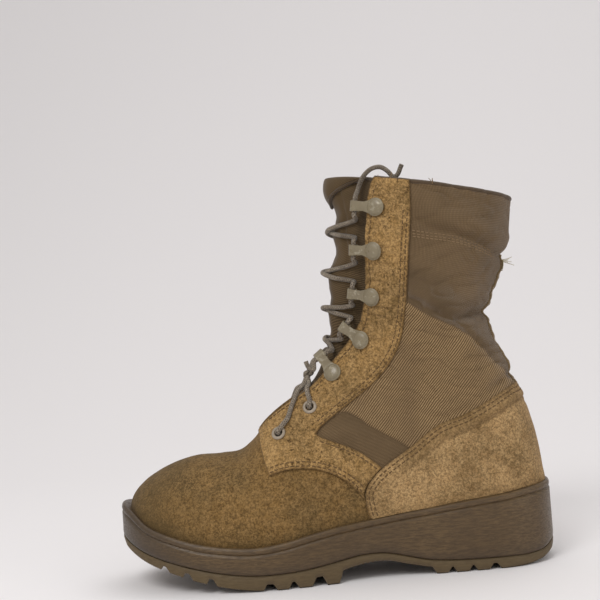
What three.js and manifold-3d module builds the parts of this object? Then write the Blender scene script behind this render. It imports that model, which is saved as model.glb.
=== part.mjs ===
// A left combat boot of about US men's size 9, laced to the top and standing on its sole.
//
// Millimetres. +X points to the toe, +Y to the wearer's left (the outer, lateral side), +Z up.
// The origin lies on the floor under the middle of the sole.
//
// The upper is a sock of sections. Each section is a closed curve in a plane across the boot, from a point on
// the under or back line to a point on the top or front line, and the planes swing round the ankle from upright
// at the toe to nearly level at the collar. skin(t, angle, out) gives any point of that sock, or of one grown by
// "out". The wall, the overlays, the tongue, the hooks and the laces are all placed by that one function.
import * as THREE from "three";
import { mergeVertices } from "three/addons/utils/BufferGeometryUtils.js";
import Module from "manifold-3d";

const wasm = await Module();
wasm.setup();

// ---------------------------------------------------------------------------------------------- driving sizes
const SOLE_LENGTH = 300; // toe bumper to heel back
const WALL = 2.6; // suede or canvas with its lining
const GAP = 0.3; // between pieces that meet
const OVERLAY = 1.7; // suede panels sewn on the outside
const INSOLE_THICKNESS = 4;
const TONGUE_THICKNESS = 3.6;
const LACE_RADIUS = 1.6;
const SKIN_TO_OVERLAY = GAP + OVERLAY; // height of a suede panel's face over the skin
const FACET = 0.2; // how far a flat facet may stand off the smooth surface

// ---------------------------------------------------------------------------------------------- tables
// Plan of the sole: how far its edge lies to the lateral and medial side at each station.
const OUTLINE = [
  { x: -150, lateral: 0, medial: 0 },
  { x: -146, lateral: 17, medial: -17 },
  { x: -136, lateral: 29, medial: -29 },
  { x: -118, lateral: 36.5, medial: -36.5 },
  { x: -90, lateral: 39, medial: -38 },
  { x: -55, lateral: 39.5, medial: -35.5 },
  { x: -20, lateral: 42.5, medial: -35 },
  { x: 10, lateral: 47.5, medial: -40 },
  { x: 40, lateral: 51.5, medial: -48.5 },
  { x: 65, lateral: 52, medial: -53 },
  { x: 90, lateral: 48.5, medial: -53.5 },
  { x: 112, lateral: 41, medial: -50.5 },
  { x: 130, lateral: 29.5, medial: -43 },
  { x: 143, lateral: 14, medial: -31 },
  { x: 150, lateral: -9, medial: -9 },
];

// Side view of the sole. rim: the cup's top edge; parting: where the cup meets the outsole; base: the outsole
// between its lugs; tread: the lugs' lower faces; floor: the inside of the cup, which the insole lies on.
const PROFILE = [
  { x: -150, rim: 53.5, parting: 14, base: 12, tread: 8.5, floor: 30 },
  { x: -140, rim: 53, parting: 9.6, base: 7, tread: 3.6, floor: 30 },
  { x: -128, rim: 51.8, parting: 8, base: 5, tread: 1, floor: 30 },
  { x: -114, rim: 50, parting: 8, base: 4.4, tread: 0, floor: 30 },
  { x: -84, rim: 47, parting: 8.4, base: 4.2, tread: 0, floor: 29.5 },
  { x: -61, rim: 44.3, parting: 10, base: 5, tread: 0, floor: 29 },
  { x: -46, rim: 42.8, parting: 13.6, base: 8.2, tread: 0, floor: 28.5 },
  { x: -30, rim: 41, parting: 17.4, base: 12, tread: 0, floor: 27.5 },
  { x: -14, rim: 39.2, parting: 17.4, base: 11.2, tread: 0, floor: 26 },
  { x: 2, rim: 37.2, parting: 14.8, base: 8, tread: 0, floor: 24 },
  { x: 18, rim: 34.4, parting: 12.3, base: 6, tread: 0, floor: 21.5 },
  { x: 36, rim: 30.8, parting: 10.8, base: 4.8, tread: 0, floor: 19.3 },
  { x: 55, rim: 29, parting: 10.8, base: 5.2, tread: 0.6, floor: 18.5 },
  { x: 75, rim: 30.4, parting: 13, base: 8.2, tread: 3.4, floor: 20.2 },
  { x: 95, rim: 33.6, parting: 16.8, base: 12.6, tread: 8.2, floor: 23.5 },
  { x: 115, rim: 39, parting: 21.6, base: 18, tread: 14.4, floor: 28.8 },
  { x: 130, rim: 44.5, parting: 26, base: 23.2, tread: 19.8, floor: 34 },
  { x: 142, rim: 53, parting: 31, base: 28.6, tread: 25.6, floor: 38.5 },
  { x: 150, rim: 57, parting: 35.4, base: 33.4, tread: 30.6, floor: 41 },
];

// Sections of the sock, toe to collar. top and bottom: the ends of the section's middle line in side view;
// centre: how far the section is shifted sideways; half: its half width; widest: how far up the middle line it
// is widest; low and high: how square its lower and upper halves are (2 is an ellipse).
const SECTIONS = [
  { topX: 143.6, topZ: 50, bottomX: 143.6, bottomZ: 44, centre: -9.8, half: 3, widest: 0.5, low: 2, high: 2 },
  { topX: 142.6, topZ: 57.4, bottomX: 142.6, bottomZ: 36, centre: -9.8, half: 12, widest: 0.4, low: 2.4, high: 2 },
  { topX: 140.2, topZ: 62.2, bottomX: 140.2, bottomZ: 31, centre: -9.6, half: 19.5, widest: 0.38, low: 2.6, high: 2 },
  { topX: 135, topZ: 68, bottomX: 135, bottomZ: 28, centre: -9, half: 27, widest: 0.36, low: 2.8, high: 2 },
  { topX: 126, topZ: 74.6, bottomX: 126, bottomZ: 24, centre: -8, half: 34, widest: 0.34, low: 3, high: 2 },
  { topX: 113, topZ: 81, bottomX: 113, bottomZ: 19, centre: -6.2, half: 39.5, widest: 0.32, low: 3, high: 2 },
  { topX: 97, topZ: 85.6, bottomX: 97, bottomZ: 15, centre: -4, half: 44, widest: 0.3, low: 3, high: 2 },
  { topX: 80, topZ: 86.6, bottomX: 80, bottomZ: 12, centre: -1.8, half: 46.6, widest: 0.3, low: 3, high: 2 },
  { topX: 64, topZ: 88.2, bottomX: 61, bottomZ: 10, centre: -0.4, half: 47, widest: 0.3, low: 3, high: 2 },
  { topX: 52.5, topZ: 95.6, bottomX: 41, bottomZ: 9, centre: 1.2, half: 45.5, widest: 0.3, low: 3, high: 1.95 },
  { topX: 42.5, topZ: 108.5, bottomX: 18, bottomZ: 11, centre: 3, half: 42, widest: 0.3, low: 2.9, high: 1.9 },
  { topX: 29, topZ: 121, bottomX: -12, bottomZ: 14, centre: 3, half: 38.6, widest: 0.32, low: 2.8, high: 1.85 },
  { topX: 14, topZ: 133, bottomX: -48, bottomZ: 17, centre: 2, half: 36.6, widest: 0.34, low: 2.7, high: 1.85 },
  { topX: 1, topZ: 148, bottomX: -90, bottomZ: 18, centre: 0.8, half: 35.6, widest: 0.36, low: 2.6, high: 1.9 },
  { topX: -8.5, topZ: 163, bottomX: -129, bottomZ: 21, centre: 0, half: 35.6, widest: 0.38, low: 2.4, high: 1.95 },
  { topX: -13.5, topZ: 176, bottomX: -144.2, bottomZ: 44, centre: 0, half: 36, widest: 0.4, low: 2.3, high: 2 },
  { topX: -15.6, topZ: 186, bottomX: -143.8, bottomZ: 64, centre: 0, half: 37, widest: 0.42, low: 2.2, high: 2 },
  { topX: -17, topZ: 196, bottomX: -141.4, bottomZ: 84, centre: 0, half: 38, widest: 0.44, low: 2.1, high: 2 },
  { topX: -18, topZ: 206, bottomX: -136.4, bottomZ: 104, centre: 0, half: 39, widest: 0.46, low: 2, high: 2 },
  { topX: -19, topZ: 216, bottomX: -130.6, bottomZ: 122, centre: 0, half: 40, widest: 0.48, low: 2, high: 2 },
  { topX: -19.6, topZ: 225, bottomX: -124.6, bottomZ: 138, centre: 0, half: 40.6, widest: 0.5, low: 2, high: 2 },
  { topX: -20, topZ: 233, bottomX: -118.4, bottomZ: 153, centre: 0, half: 41, widest: 0.5, low: 2, high: 2 },
  { topX: -20.3, topZ: 241, bottomX: -115.4, bottomZ: 168, centre: 0, half: 41.2, widest: 0.5, low: 2, high: 2 },
  { topX: -20.6, topZ: 249, bottomX: -120.4, bottomZ: 186, centre: 0, half: 41.5, widest: 0.5, low: 2, high: 2 },
  { topX: -20.8, topZ: 257, bottomX: -128.8, bottomZ: 205, centre: 0, half: 42, widest: 0.5, low: 2, high: 2 },
  { topX: -21, topZ: 265, bottomX: -135.4, bottomZ: 226, centre: 0, half: 42, widest: 0.5, low: 2, high: 2 },
  { topX: -21, topZ: 272, bottomX: -139, bottomZ: 248, centre: 0, half: 41, widest: 0.5, low: 2, high: 2 },
];
const COLLAR = SECTIONS.length - 1;

// The throat: half its opening at each section, and how far the tongue swells out of it.
const THROAT = [
  { t: 9.3, halfGap: 3, swell: -6 },
  { t: 9.7, halfGap: 7, swell: -6 },
  { t: 11, halfGap: 10, swell: -6 },
  { t: 12.3, halfGap: 12, swell: -3.5 },
  { t: 13.4, halfGap: 12.8, swell: 0.5 },
  { t: 14.5, halfGap: 15.8, swell: 5.5 },
  { t: 15.7, halfGap: 19.5, swell: 8 },
  { t: 17, halfGap: 22.2, swell: 9 },
  { t: 19.3, halfGap: 26.2, swell: 6 },
  { t: 22.7, halfGap: 29.4, swell: 5 },
  { t: 24.7, halfGap: 30, swell: 8 },
  { t: 26, halfGap: 31.5, swell: 9 },
];

// ---------------------------------------------------------------------------------------------- interpolation
// A smooth curve through the rows of a table: cubic Hermite, with slopes from each row's neighbours.
function smooth(rows, abscissa, key, at) {
  const last = rows.length - 1;
  const x = rows.map(abscissa);
  let i = 0;
  while (i < last - 1 && at > x[i + 1]) i++;
  const slope = (k) => {
    const a = Math.max(k - 1, 0);
    const b = Math.min(k + 1, last);
    return (rows[b][key] - rows[a][key]) / (x[b] - x[a]);
  };
  const span = x[i + 1] - x[i];
  const s = Math.min(Math.max((at - x[i]) / span, 0), 1);
  return (
    rows[i][key] * (1 + 2 * s) * (1 - s) ** 2 +
    slope(i) * span * s * (1 - s) ** 2 +
    rows[i + 1][key] * s * s * (3 - 2 * s) -
    slope(i + 1) * span * s * s * (1 - s)
  );
}

// The sole's ends are round, so its plan is smooth in the angle whose cosine gives x, not in x itself.
const roundAngle = (x) => Math.acos(THREE.MathUtils.clamp((-2 * x) / SOLE_LENGTH, -1, 1));
const edgeOf = (side, x) => smooth(OUTLINE, (row) => roundAngle(row.x), side, roundAngle(x));
const profileAt = (key, x) => smooth(PROFILE, (row) => row.x, key, x);
const throatAt = (key, t) => smooth(THROAT, (row) => row.t, key, t);

// ---------------------------------------------------------------------------------------------- the sock
// angle 0 is the under or back line, PI the top or front line; from 0 to PI the point is on the lateral side.
function skinPoint(t, angle) {
  const row = (key) => smooth(SECTIONS, (_, i) => i, key, t);
  const turn = THREE.MathUtils.euclideanModulo(angle, 2 * Math.PI);
  const side = turn <= Math.PI ? 1 : -1;
  const half = side > 0 ? turn : 2 * Math.PI - turn;
  const lower = half < Math.PI / 2;
  const power = 2 / (lower ? row("low") : row("high"));
  const along = Math.abs(Math.cos(half)) ** power;
  const across = Math.abs(Math.sin(half)) ** power;
  const widest = row("widest");
  const share = lower ? widest * (1 - along) : widest + (1 - widest) * along;
  return new THREE.Vector3(
    row("bottomX") + (row("topX") - row("bottomX")) * share,
    row("centre") + side * row("half") * across,
    row("bottomZ") + (row("topZ") - row("bottomZ")) * share,
  );
}

function skinNormal(t, angle) {
  const step = 0.02;
  const low = Math.max(t - step, 0);
  const high = Math.min(t + step, COLLAR);
  const alongT = skinPoint(high, angle).sub(skinPoint(low, angle));
  const alongAngle = skinPoint(t, angle + step).sub(skinPoint(t, angle - step));
  return alongT.cross(alongAngle).normalize();
}

function skin(t, angle, out = 0) {
  return skinPoint(t, angle).addScaledVector(skinNormal(t, angle), out);
}

// The angle, measured from the front line, at which the skin lies a given distance to the side.
function angleToSide(t, distance) {
  let low = 0;
  let high = Math.PI / 2;
  for (let i = 0; i < 30; i++) {
    const middle = (low + high) / 2;
    const point = skinPoint(t, Math.PI - middle);
    if (point.y - skinPoint(t, Math.PI).y < distance) low = middle;
    else high = middle;
  }
  return (low + high) / 2;
}

// The t and angle of the skin point that is seen at (x, z) from the lateral or medial side.
function locate(x, z, side) {
  let best = { t: 12, angle: Math.PI / 2, miss: Infinity };
  let reachT = 14;
  let reachAngle = Math.PI / 2;
  const steps = 14;
  for (let round = 0; round < 9; round++) {
    const { t: midT, angle: midAngle } = best;
    for (let i = -steps; i <= steps; i++)
      for (let j = -steps; j <= steps; j++) {
        const t = THREE.MathUtils.clamp(midT + (reachT * i) / steps, 0, COLLAR);
        const angle = THREE.MathUtils.clamp(midAngle + (reachAngle * j) / steps, 0, Math.PI);
        const p = skinPoint(t, angle);
        const miss = Math.hypot(p.x - x, p.z - z);
        if (miss < best.miss) best = { t, angle, miss };
      }
    reachT /= 3;
    reachAngle /= 3;
  }
  return { t: best.t, angle: side > 0 ? best.angle : 2 * Math.PI - best.angle };
}

// ---------------------------------------------------------------------------------------------- solids
function toSolid(vertices, triangles) {
  return new wasm.Manifold(
    new wasm.Mesh({
      numProp: 3,
      vertProperties: new Float32Array(vertices.flatMap((v) => [v.x, v.y, v.z])),
      triVerts: new Uint32Array(triangles.flat()),
    }),
  );
}

function solidOf(geometry) {
  const bare = new THREE.BufferGeometry();
  const source = geometry.index ? geometry.toNonIndexed() : geometry;
  bare.setAttribute("position", source.getAttribute("position"));
  const merged = mergeVertices(bare, 1e-4);
  return new wasm.Manifold(
    new wasm.Mesh({
      numProp: 3,
      vertProperties: merged.attributes.position.array,
      triVerts: new Uint32Array(merged.index.array),
    }),
  );
}

// Rings of equally many points, one after another, closed at both ends by a fan round the ring's middle.
function loft(rings) {
  const around = rings[0].length;
  const vertices = rings.flat();
  const triangles = [];
  for (let i = 0; i + 1 < rings.length; i++)
    for (let j = 0; j < around; j++) {
      const a = i * around + j;
      const b = i * around + ((j + 1) % around);
      triangles.push([a, b, a + around], [b, b + around, a + around]);
    }
  const end = (first, flip) => {
    const middle = new THREE.Vector3();
    for (let j = 0; j < around; j++) middle.addScaledVector(vertices[first + j], 1 / around);
    const hub = vertices.push(middle) - 1;
    for (let j = 0; j < around; j++) {
      const a = first + j;
      const b = first + ((j + 1) % around);
      triangles.push(flip ? [b, a, hub] : [a, b, hub]);
    }
  };
  end(0, true);
  end((rings.length - 1) * around, false);
  const made = toSolid(vertices, triangles);
  if (made.volume() > 0) return made;
  return toSolid(vertices, triangles.map(([a, b, c]) => [a, c, b]));
}

// A closed sheet: two grids of points, face and back, joined round their border.
function sheet(face, back) {
  const rings = face.map((row, i) => [...row, ...[...back[i]].reverse()]);
  const around = rings[0].length;
  const vertices = rings.flat();
  const triangles = [];
  for (let i = 0; i + 1 < rings.length; i++)
    for (let j = 0; j < around; j++) {
      const a = i * around + j;
      const b = i * around + ((j + 1) % around);
      triangles.push([a, b, a + around], [b, b + around, a + around]);
    }
  const width = face[0].length;
  const end = (first, flip) => {
    for (let j = 0; j + 1 < width; j++) {
      const a = first + j;
      const b = first + j + 1;
      const c = first + around - 1 - j;
      const d = c - 1;
      triangles.push(...(flip ? [[b, a, d], [d, a, c]] : [[a, b, d], [a, d, c]]));
    }
  };
  end(0, true);
  end((rings.length - 1) * around, false);
  const made = toSolid(vertices, triangles);
  if (made.volume() > 0) return made;
  return toSolid(vertices, triangles.map(([a, b, c]) => [a, c, b]));
}

const UPPER_ROWS = 22;
const UPPER_AROUND = 24;

const span = (from, to, count) => Array.from({ length: count + 1 }, (_, i) => from + ((to - from) * i) / count);

// The sock, grown by "out", between two of its sections. Past the collar it goes on straight up by "rise".
function sock(out, { from = 0, to = COLLAR, rows = UPPER_ROWS, around = UPPER_AROUND, rise = 0 }) {
  const rings = span(from, to, rows).map((t) =>
    span(0, 2 * Math.PI, around)
      .slice(0, -1)
      .map((angle) => skin(t, angle, out)),
  );
  if (rise > 0) rings.push(rings.at(-1).map((p) => p.clone().add(new THREE.Vector3(0, 0, rise))));
  return loft(rings);
}

// A block with the given outline in side view, across the whole boot or one side of its middle.
function sideBlock(points, fromY, toY) {
  const shape = new THREE.Shape(points.map(([x, z]) => new THREE.Vector2(x, z)));
  const block = new THREE.ExtrudeGeometry(shape, { depth: toY - fromY, bevelEnabled: false });
  block.rotateX(Math.PI / 2).translate(0, toY, 0);
  return solidOf(block);
}

// ---------------------------------------------------------------------------------------------- sole
const HALF_LENGTH = SOLE_LENGTH / 2;
const STATIONS = 22;
const stationX = (i) => -HALF_LENGTH * Math.cos((Math.PI * i) / STATIONS);

// A body inside the sole's plan: layers of rings, each drawn in by "inset" and set at height(x).
function planBody(layers) {
  const ring = ({ inset, height }) => {
    const drawnIn = (x) => x * (1 - inset / HALF_LENGTH);
    const point = (x, side) => {
      const sign = side === "lateral" ? -1 : 1;
      const middle = (edgeOf("lateral", x) + edgeOf("medial", x)) / 2;
      const reach = edgeOf(side, x) + sign * inset;
      const y = side === "lateral" ? Math.max(reach, middle) : Math.min(reach, middle);
      return new THREE.Vector3(drawnIn(x), y, height(drawnIn(x)));
    };
    const inner = span(1, STATIONS - 1, STATIONS - 2).map(stationX);
    return {
      heel: point(-HALF_LENGTH, "lateral"),
      toe: point(HALF_LENGTH, "lateral"),
      lateral: inner.map((x) => point(x, "lateral")),
      medial: inner.map((x) => point(x, "medial")),
    };
  };
  const rings = layers.map(ring);
  const count = STATIONS - 1;
  const around = 2 * count + 2;
  const vertices = rings.flatMap((r) => [r.heel, ...r.medial, r.toe, ...[...r.lateral].reverse()]);
  const triangles = [];
  for (let i = 0; i + 1 < rings.length; i++)
    for (let j = 0; j < around; j++) {
      const a = i * around + j;
      const b = i * around + ((j + 1) % around);
      triangles.push([a, b, a + around], [b, b + around, a + around]);
    }
  const cap = (first, up) => {
    const face = (a, b, c) => triangles.push(up ? [a, b, c] : [a, c, b]);
    const medial = (k) => first + k;
    const lateral = (k) => (k === 0 ? first : first + around - k);
    face(first, medial(1), lateral(1));
    for (let k = 1; k < count; k++) {
      face(medial(k), medial(k + 1), lateral(k + 1));
      face(medial(k), lateral(k + 1), lateral(k));
    }
    face(medial(count), first + count + 1, lateral(count));
  };
  cap(0, false);
  cap((rings.length - 1) * around, true);
  return toSolid(vertices, triangles);
}

const below = (key, drop) => (x) => profileAt(key, THREE.MathUtils.clamp(x, -HALF_LENGTH, HALF_LENGTH)) - drop;
const SIDE_MARGIN = 10; // how far a side block reaches past the sole's ends
const BELOW_FLOOR = -20;
const ACROSS = 80; // more than half the boot's width

// Everything under a line of the side view that is given by its height at each x.
function everythingUnder(height, steps) {
  const end = HALF_LENGTH + SIDE_MARGIN;
  const line = span(-end, end, steps).map((x) => [x, height(x)]);
  return sideBlock([...line, [end, BELOW_FLOOR], [-end, BELOW_FLOOR]].reverse(), -ACROSS, ACROSS);
}

// Everything under the inside floor of the cup, raised by "lift".
const underFloor = (lift) => everythingUnder(below("floor", -lift), 18);

function midsole() {
  const CUP_LIP = 3.2; // how far the rim's top is drawn in from the widest part of the wall
  const block = planBody([
    { inset: 1.2, height: below("parting", 0) },
    { inset: 0, height: below("parting", -2.5) },
    { inset: 0.2, height: below("rim", 5) },
    { inset: CUP_LIP, height: below("rim", 0) },
  ]);
  const foot = sock(GAP, {}).subtract(underFloor(0));
  return block.subtract(foot);
}

// Lugs along the sole's edge, heel to toe. from and to: the tread's ends; slope: how far each flank leans out.
const EDGE_LUGS = [
  { from: -146, to: -107.5, slope: 3 },
  { from: -99.5, to: -91.5, slope: 2.6 },
  { from: -85.5, to: -77.5, slope: 2.6 },
  { from: -71.5, to: -64, slope: 3 },
  { from: 1.5, to: 9.5, slope: 3 },
  { from: 19.5, to: 28, slope: 3 },
  { from: 35, to: 42.5, slope: 2.6 },
  { from: 51.5, to: 82, slope: 2.4 },
  { from: 89, to: 98, slope: 2.2 },
  { from: 105, to: 114, slope: 2.2 },
  { from: 120, to: 146, slope: 2.2 },
];
// Rows of small lugs down the middle of the tread.
const MIDDLE_LUGS = [
  { from: -124, to: -110 },
  { from: -103, to: -90 },
  { from: -83, to: -70 },
  { from: 12, to: 24 },
  { from: 31, to: 44 },
  { from: 51, to: 64 },
  { from: 71, to: 83 },
  { from: 90, to: 102 },
];

function lugBar({ from, to, slope }, fromY, toY) {
  const ROOT = 2.5; // how far a lug reaches into the base
  const steps = Math.max(1, Math.round((to - from) / 12));
  const tread = span(from, to, steps).map((x) => [x, Math.max(below("tread", 0)(x), 0)]);
  const top = (x) => below("base", 0)(x) + ROOT;
  const outline = [...tread, [to + slope, top(to + slope)], [from - slope, top(from - slope)]];
  return sideBlock(outline, fromY, toY);
}

function outsole() {
  const base = planBody([
    { inset: 2, height: below("base", 0) },
    { inset: 0.6, height: below("base", -1.5) },
    { inset: 1.2, height: below("parting", GAP) },
  ]);
  const trim = planBody([
    { inset: 2.2, height: () => -1 },
    { inset: 0.8, height: (x) => below("parting", 1.2)(x) },
  ]);
  const CHANNEL = 13; // half the width of the strip that the middle lugs stand in
  const MIDDLE_HALF = 9;
  const bars = [];
  for (const lug of EDGE_LUGS) {
    const whole = lug.from < -140 || lug.to > 140;
    if (whole) bars.push(lugBar(lug, -60, 60));
    else bars.push(lugBar(lug, CHANNEL, 60), lugBar(lug, -60, -CHANNEL));
  }
  for (const lug of MIDDLE_LUGS) bars.push(lugBar({ ...lug, slope: 1.5 }, -MIDDLE_HALF, MIDDLE_HALF));
  const lugs = wasm.Manifold.union(bars).intersect(trim);
  return base.add(lugs);
}

// ---------------------------------------------------------------------------------------------- upper
const INNER_START = 1.35; // the lining's toe, so that the tip keeps a wall

// What the throat leaves open, from under the lining to over the overlays.
function throatOpening() {
  const depth = [-14, 14];
  const rows = [...span(THROAT[0].t, 13, 7), ...span(13.6, COLLAR, 13)];
  const grid = (out) =>
    rows.map((t) => {
      const reach = angleToSide(t, throatAt("halfGap", t));
      return span(-1, 1, 6).map((s) => skin(t, Math.PI - s * reach, out));
    });
  const face = grid(depth[1]);
  const back = grid(depth[0]);
  const rise = new THREE.Vector3(0, 0, 12);
  for (const side of [face, back]) side.push(side.at(-1).map((p) => p.clone().add(rise)));
  return sheet(face, back);
}

function upper(throat) {
  const outer = sock(0, {});
  const inner = sock(-WALL, { from: INNER_START, rise: 10 });
  return outer.subtract(inner).subtract(underFloor(GAP)).subtract(throat);
}

function insole() {
  const inside = sock(-WALL - 1, { from: INNER_START, to: 17, rows: 14, around: 20 });
  const slab = underFloor(GAP + INSOLE_THICKNESS).subtract(underFloor(GAP));
  return inside.intersect(slab);
}

// ---------------------------------------------------------------------------------------------- overlays
// Side view of the heel counter's edge, from the sole at the waist over the heel.
const COUNTER_EDGE = [
  { x: -24, z: 38 },
  { x: -20, z: 57.5 },
  { x: -33, z: 73 },
  { x: -53.7, z: 86 },
  { x: -72.6, z: 99 },
  { x: -88.5, z: 104.2 },
  { x: -106.4, z: 112.5 },
  { x: -124.5, z: 120.5 },
  { x: -160, z: 122 },
  { x: -160, z: 10 },
  { x: -24, z: 10 },
];
const COUNTER_GAP = { x: 0.8, z: 0.6 }; // between the counter's edge and the quarters
// Side view of the quarter: the suede round the throat and across the instep, from its front corner round.
const QUARTER_EDGE = [
  { x: 42.5, z: 73.4 },
  { x: 27.5, z: 76.7 },
  { x: 12, z: 75.6 },
  { x: -1, z: 70.9 },
  { x: -12, z: 62.6 },
  { x: -19, z: 52.6 },
  { x: -23, z: 42 },
  { x: -24, z: 38 },
  { x: -20, z: 57.5 },
  { x: -33, z: 73 },
  { x: -18, z: 84.9 },
  { x: -3, z: 92 },
  { x: 8.8, z: 96.4 },
  { x: 8.4, z: 100.4 },
  { x: -9.1, z: 113 },
  { x: -23.7, z: 122.9 },
  { x: -38.7, z: 135.8 },
  { x: -49.6, z: 151.3 },
  { x: -54.5, z: 166.8 },
  { x: -57.5, z: 186.2 },
  { x: -60.7, z: 215 },
  { x: -64.3, z: 243.8 },
  { x: -66, z: 290 },
  { x: 0, z: 290 },
  { x: 52, z: 128 },
  { x: 47, z: 92.3 },
  { x: 45.4, z: 83.4 },
];
const outlineOf = (rows, shift = { x: 0, z: 0 }) => rows.map(({ x, z }) => [x + shift.x, z + shift.z]);

// A suede panel's thickness all over the boot. Panels are cut from it by their outline in side view.
const suedeShell = () => sock(SKIN_TO_OVERLAY, {}).subtract(sock(GAP, { rise: 8 }));

// An overlay stops just over the cup's rim.
const underRim = () => everythingUnder(below("rim", -0.5), 36);

function heelCounter() {
  const region = sideBlock(outlineOf(COUNTER_EDGE), -ACROSS, ACROSS);
  return suedeShell().intersect(region).subtract(underRim());
}

function quarter(side, throat) {
  const region = sideBlock(outlineOf(QUARTER_EDGE), Math.min(0, side * ACROSS), Math.max(0, side * ACROSS));
  const counter = sideBlock(outlineOf(COUNTER_EDGE, COUNTER_GAP), -ACROSS, ACROSS);
  return suedeShell().intersect(region).subtract(counter).subtract(throat).subtract(underRim());
}

// The webbing sewn over the back seam, from the counter to the collar's seam.
const BACKSTAY = { from: 19.9, to: 24.2, halfWidth: 8, thickness: 1.2 };
function backstay() {
  const { from, to, halfWidth, thickness } = BACKSTAY;
  const grid = (out) =>
    span(from, to, 6).map((t) => {
      const reach = halfWidth / smooth(SECTIONS, (_, i) => i, "half", t);
      return span(-1, 1, 2).map((s) => skin(t, s * reach, out));
    });
  return sheet(grid(2 * GAP + thickness), grid(-1)).subtract(sock(GAP, {}));
}

// ---------------------------------------------------------------------------------------------- tongue
// How far the tongue's face stands over the skin at a distance from its middle line: behind the wall at its
// sides, swollen out of the throat between them.
const tongueDepth = (t) => -WALL - 1.2 - 1.4 * THREE.MathUtils.smoothstep(11.5 - t, 0, 2);
const TONGUE_OVERLAP = 9; // how far the tongue reaches behind each edge of the throat
const halfWidth = (t) => smooth(SECTIONS, (_, i) => i, "half", t);
const tongueHalf = (t) => Math.min(throatAt("halfGap", t) + TONGUE_OVERLAP, 0.86 * halfWidth(t));
// Where its face leaves the depth of its sides, as a share of the throat's half opening.
const TONGUE_SIDE = 0.88;
function tongueFace(t, distance) {
  const open = 1 - THREE.MathUtils.smoothstep(distance / throatAt("halfGap", t), 0.15, TONGUE_SIDE);
  const depth = tongueDepth(t);
  return depth + (Math.max(throatAt("swell", t), depth) - depth) * open;
}

function tongue() {
  const START = 8.8;
  const TOP = COLLAR - 0.1;
  const FOLD = { at: 4, reach: 20, drop: 1.2 }; // a corner of the top is folded down
  const COLUMNS = [TONGUE_SIDE, 0.6, 0.28];
  const columns = [-Infinity, ...COLUMNS.map((share) => -share), 0, ...[...COLUMNS].reverse(), Infinity];
  const grid = (back) =>
    span(0, 1, 16).map((up) =>
      columns.map((share) => {
        const sideways = (t) =>
          THREE.MathUtils.clamp(share * throatAt("halfGap", t), -tongueHalf(t), tongueHalf(t));
        const top = TOP - FOLD.drop * Math.max(0, 1 - Math.abs(sideways(TOP) - FOLD.at) / FOLD.reach);
        const t = START + (top - START) * up;
        const y = sideways(t);
        return skin(t, Math.PI - Math.sign(y) * angleToSide(t, Math.abs(y)), tongueFace(t, Math.abs(y)) - back);
      }),
    );
  return sheet(grid(0), grid(TONGUE_THICKNESS));
}

// ---------------------------------------------------------------------------------------------- hardware
// Side view of each row of hardware: an eyelet's middle, or a hook's rivet and the tip of its loop.
const EYELETS = [
  { row: 1, x: 34.2, z: 99.4 },
  { row: 2, x: 12, z: 115.2 },
];
const HOOKS = [
  { row: 3, x: -5.7, z: 137.1, tipX: -0.6, tipZ: 146.6 },
  { row: 4, x: -26.6, z: 158.7, tipX: -17.4, tipZ: 168.4 },
  { row: 5, x: -36, z: 187.6, tipX: -25.2, tipZ: 191.3 },
  { row: 6, x: -39.3, z: 218.3, tipX: -28.7, tipZ: 220.5 },
  { row: 7, x: -42.6, z: 247.3, tipX: -30.7, tipZ: 249.1 },
];
// The drain vents low on the medial side.
const VENTS = [
  { row: 1, x: -5, above: 8 },
  { row: 2, x: 20, above: 10 },
];
const EYELET = { outer: 4.9, hole: 2.7, height: 1.1 };
const HOOK = {
  rivet: 5.4,
  plate: 6.2,
  neck: 2.4,
  width: 3.6,
  thickness: 1,
  loop: 2.2,
  length: 12.2,
  lift: 3.2,
};
const VENT = { radius: 5.8, height: 1.4 };

// A frame on the skin: origin at a place (t and angle), Z out of the boot, X towards a second point.
function frameAt({ t, angle }, towards, out) {
  const origin = skin(t, angle, out);
  const normal = skinNormal(t, angle);
  const ahead = towards.clone().sub(origin).projectOnPlane(normal).normalize();
  const aside = normal.clone().cross(ahead);
  return new THREE.Matrix4().makeBasis(ahead, aside, normal).setPosition(origin);
}

const placed = (solid, matrix) => solid.transform(matrix.toArray());
const SIDES = [
  { name: "lateral", sign: 1 },
  { name: "medial", sign: -1 },
];

function turned(profile, segments) {
  const lathe = new THREE.LatheGeometry(profile.map(([r, z]) => new THREE.Vector2(r, z)), segments);
  return solidOf(lathe.rotateX(Math.PI / 2));
}

function eyeletFrame(eyelet, side) {
  const place = locate(eyelet.x, eyelet.z, side);
  return frameAt(place, skin(place.t + 0.5, place.angle), SKIN_TO_OVERLAY);
}

function eyeletRing() {
  const { outer, hole, height } = EYELET;
  const top = GAP + height;
  return turned([[hole, GAP], [outer, GAP], [outer - 0.7, top], [hole + 0.3, top], [hole, GAP]], 10);
}

const eyeletHole = () => turned([[0, -9], [EYELET.hole, -9], [EYELET.hole, 6], [0, 6]], 8);

function hookFrame(hook, side) {
  const place = locate(hook.x, hook.z, side);
  const tip = locate(hook.tipX, hook.tipZ, side);
  return frameAt(place, skin(tip.t, tip.angle), SKIN_TO_OVERLAY + GAP + FACET);
}

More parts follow.
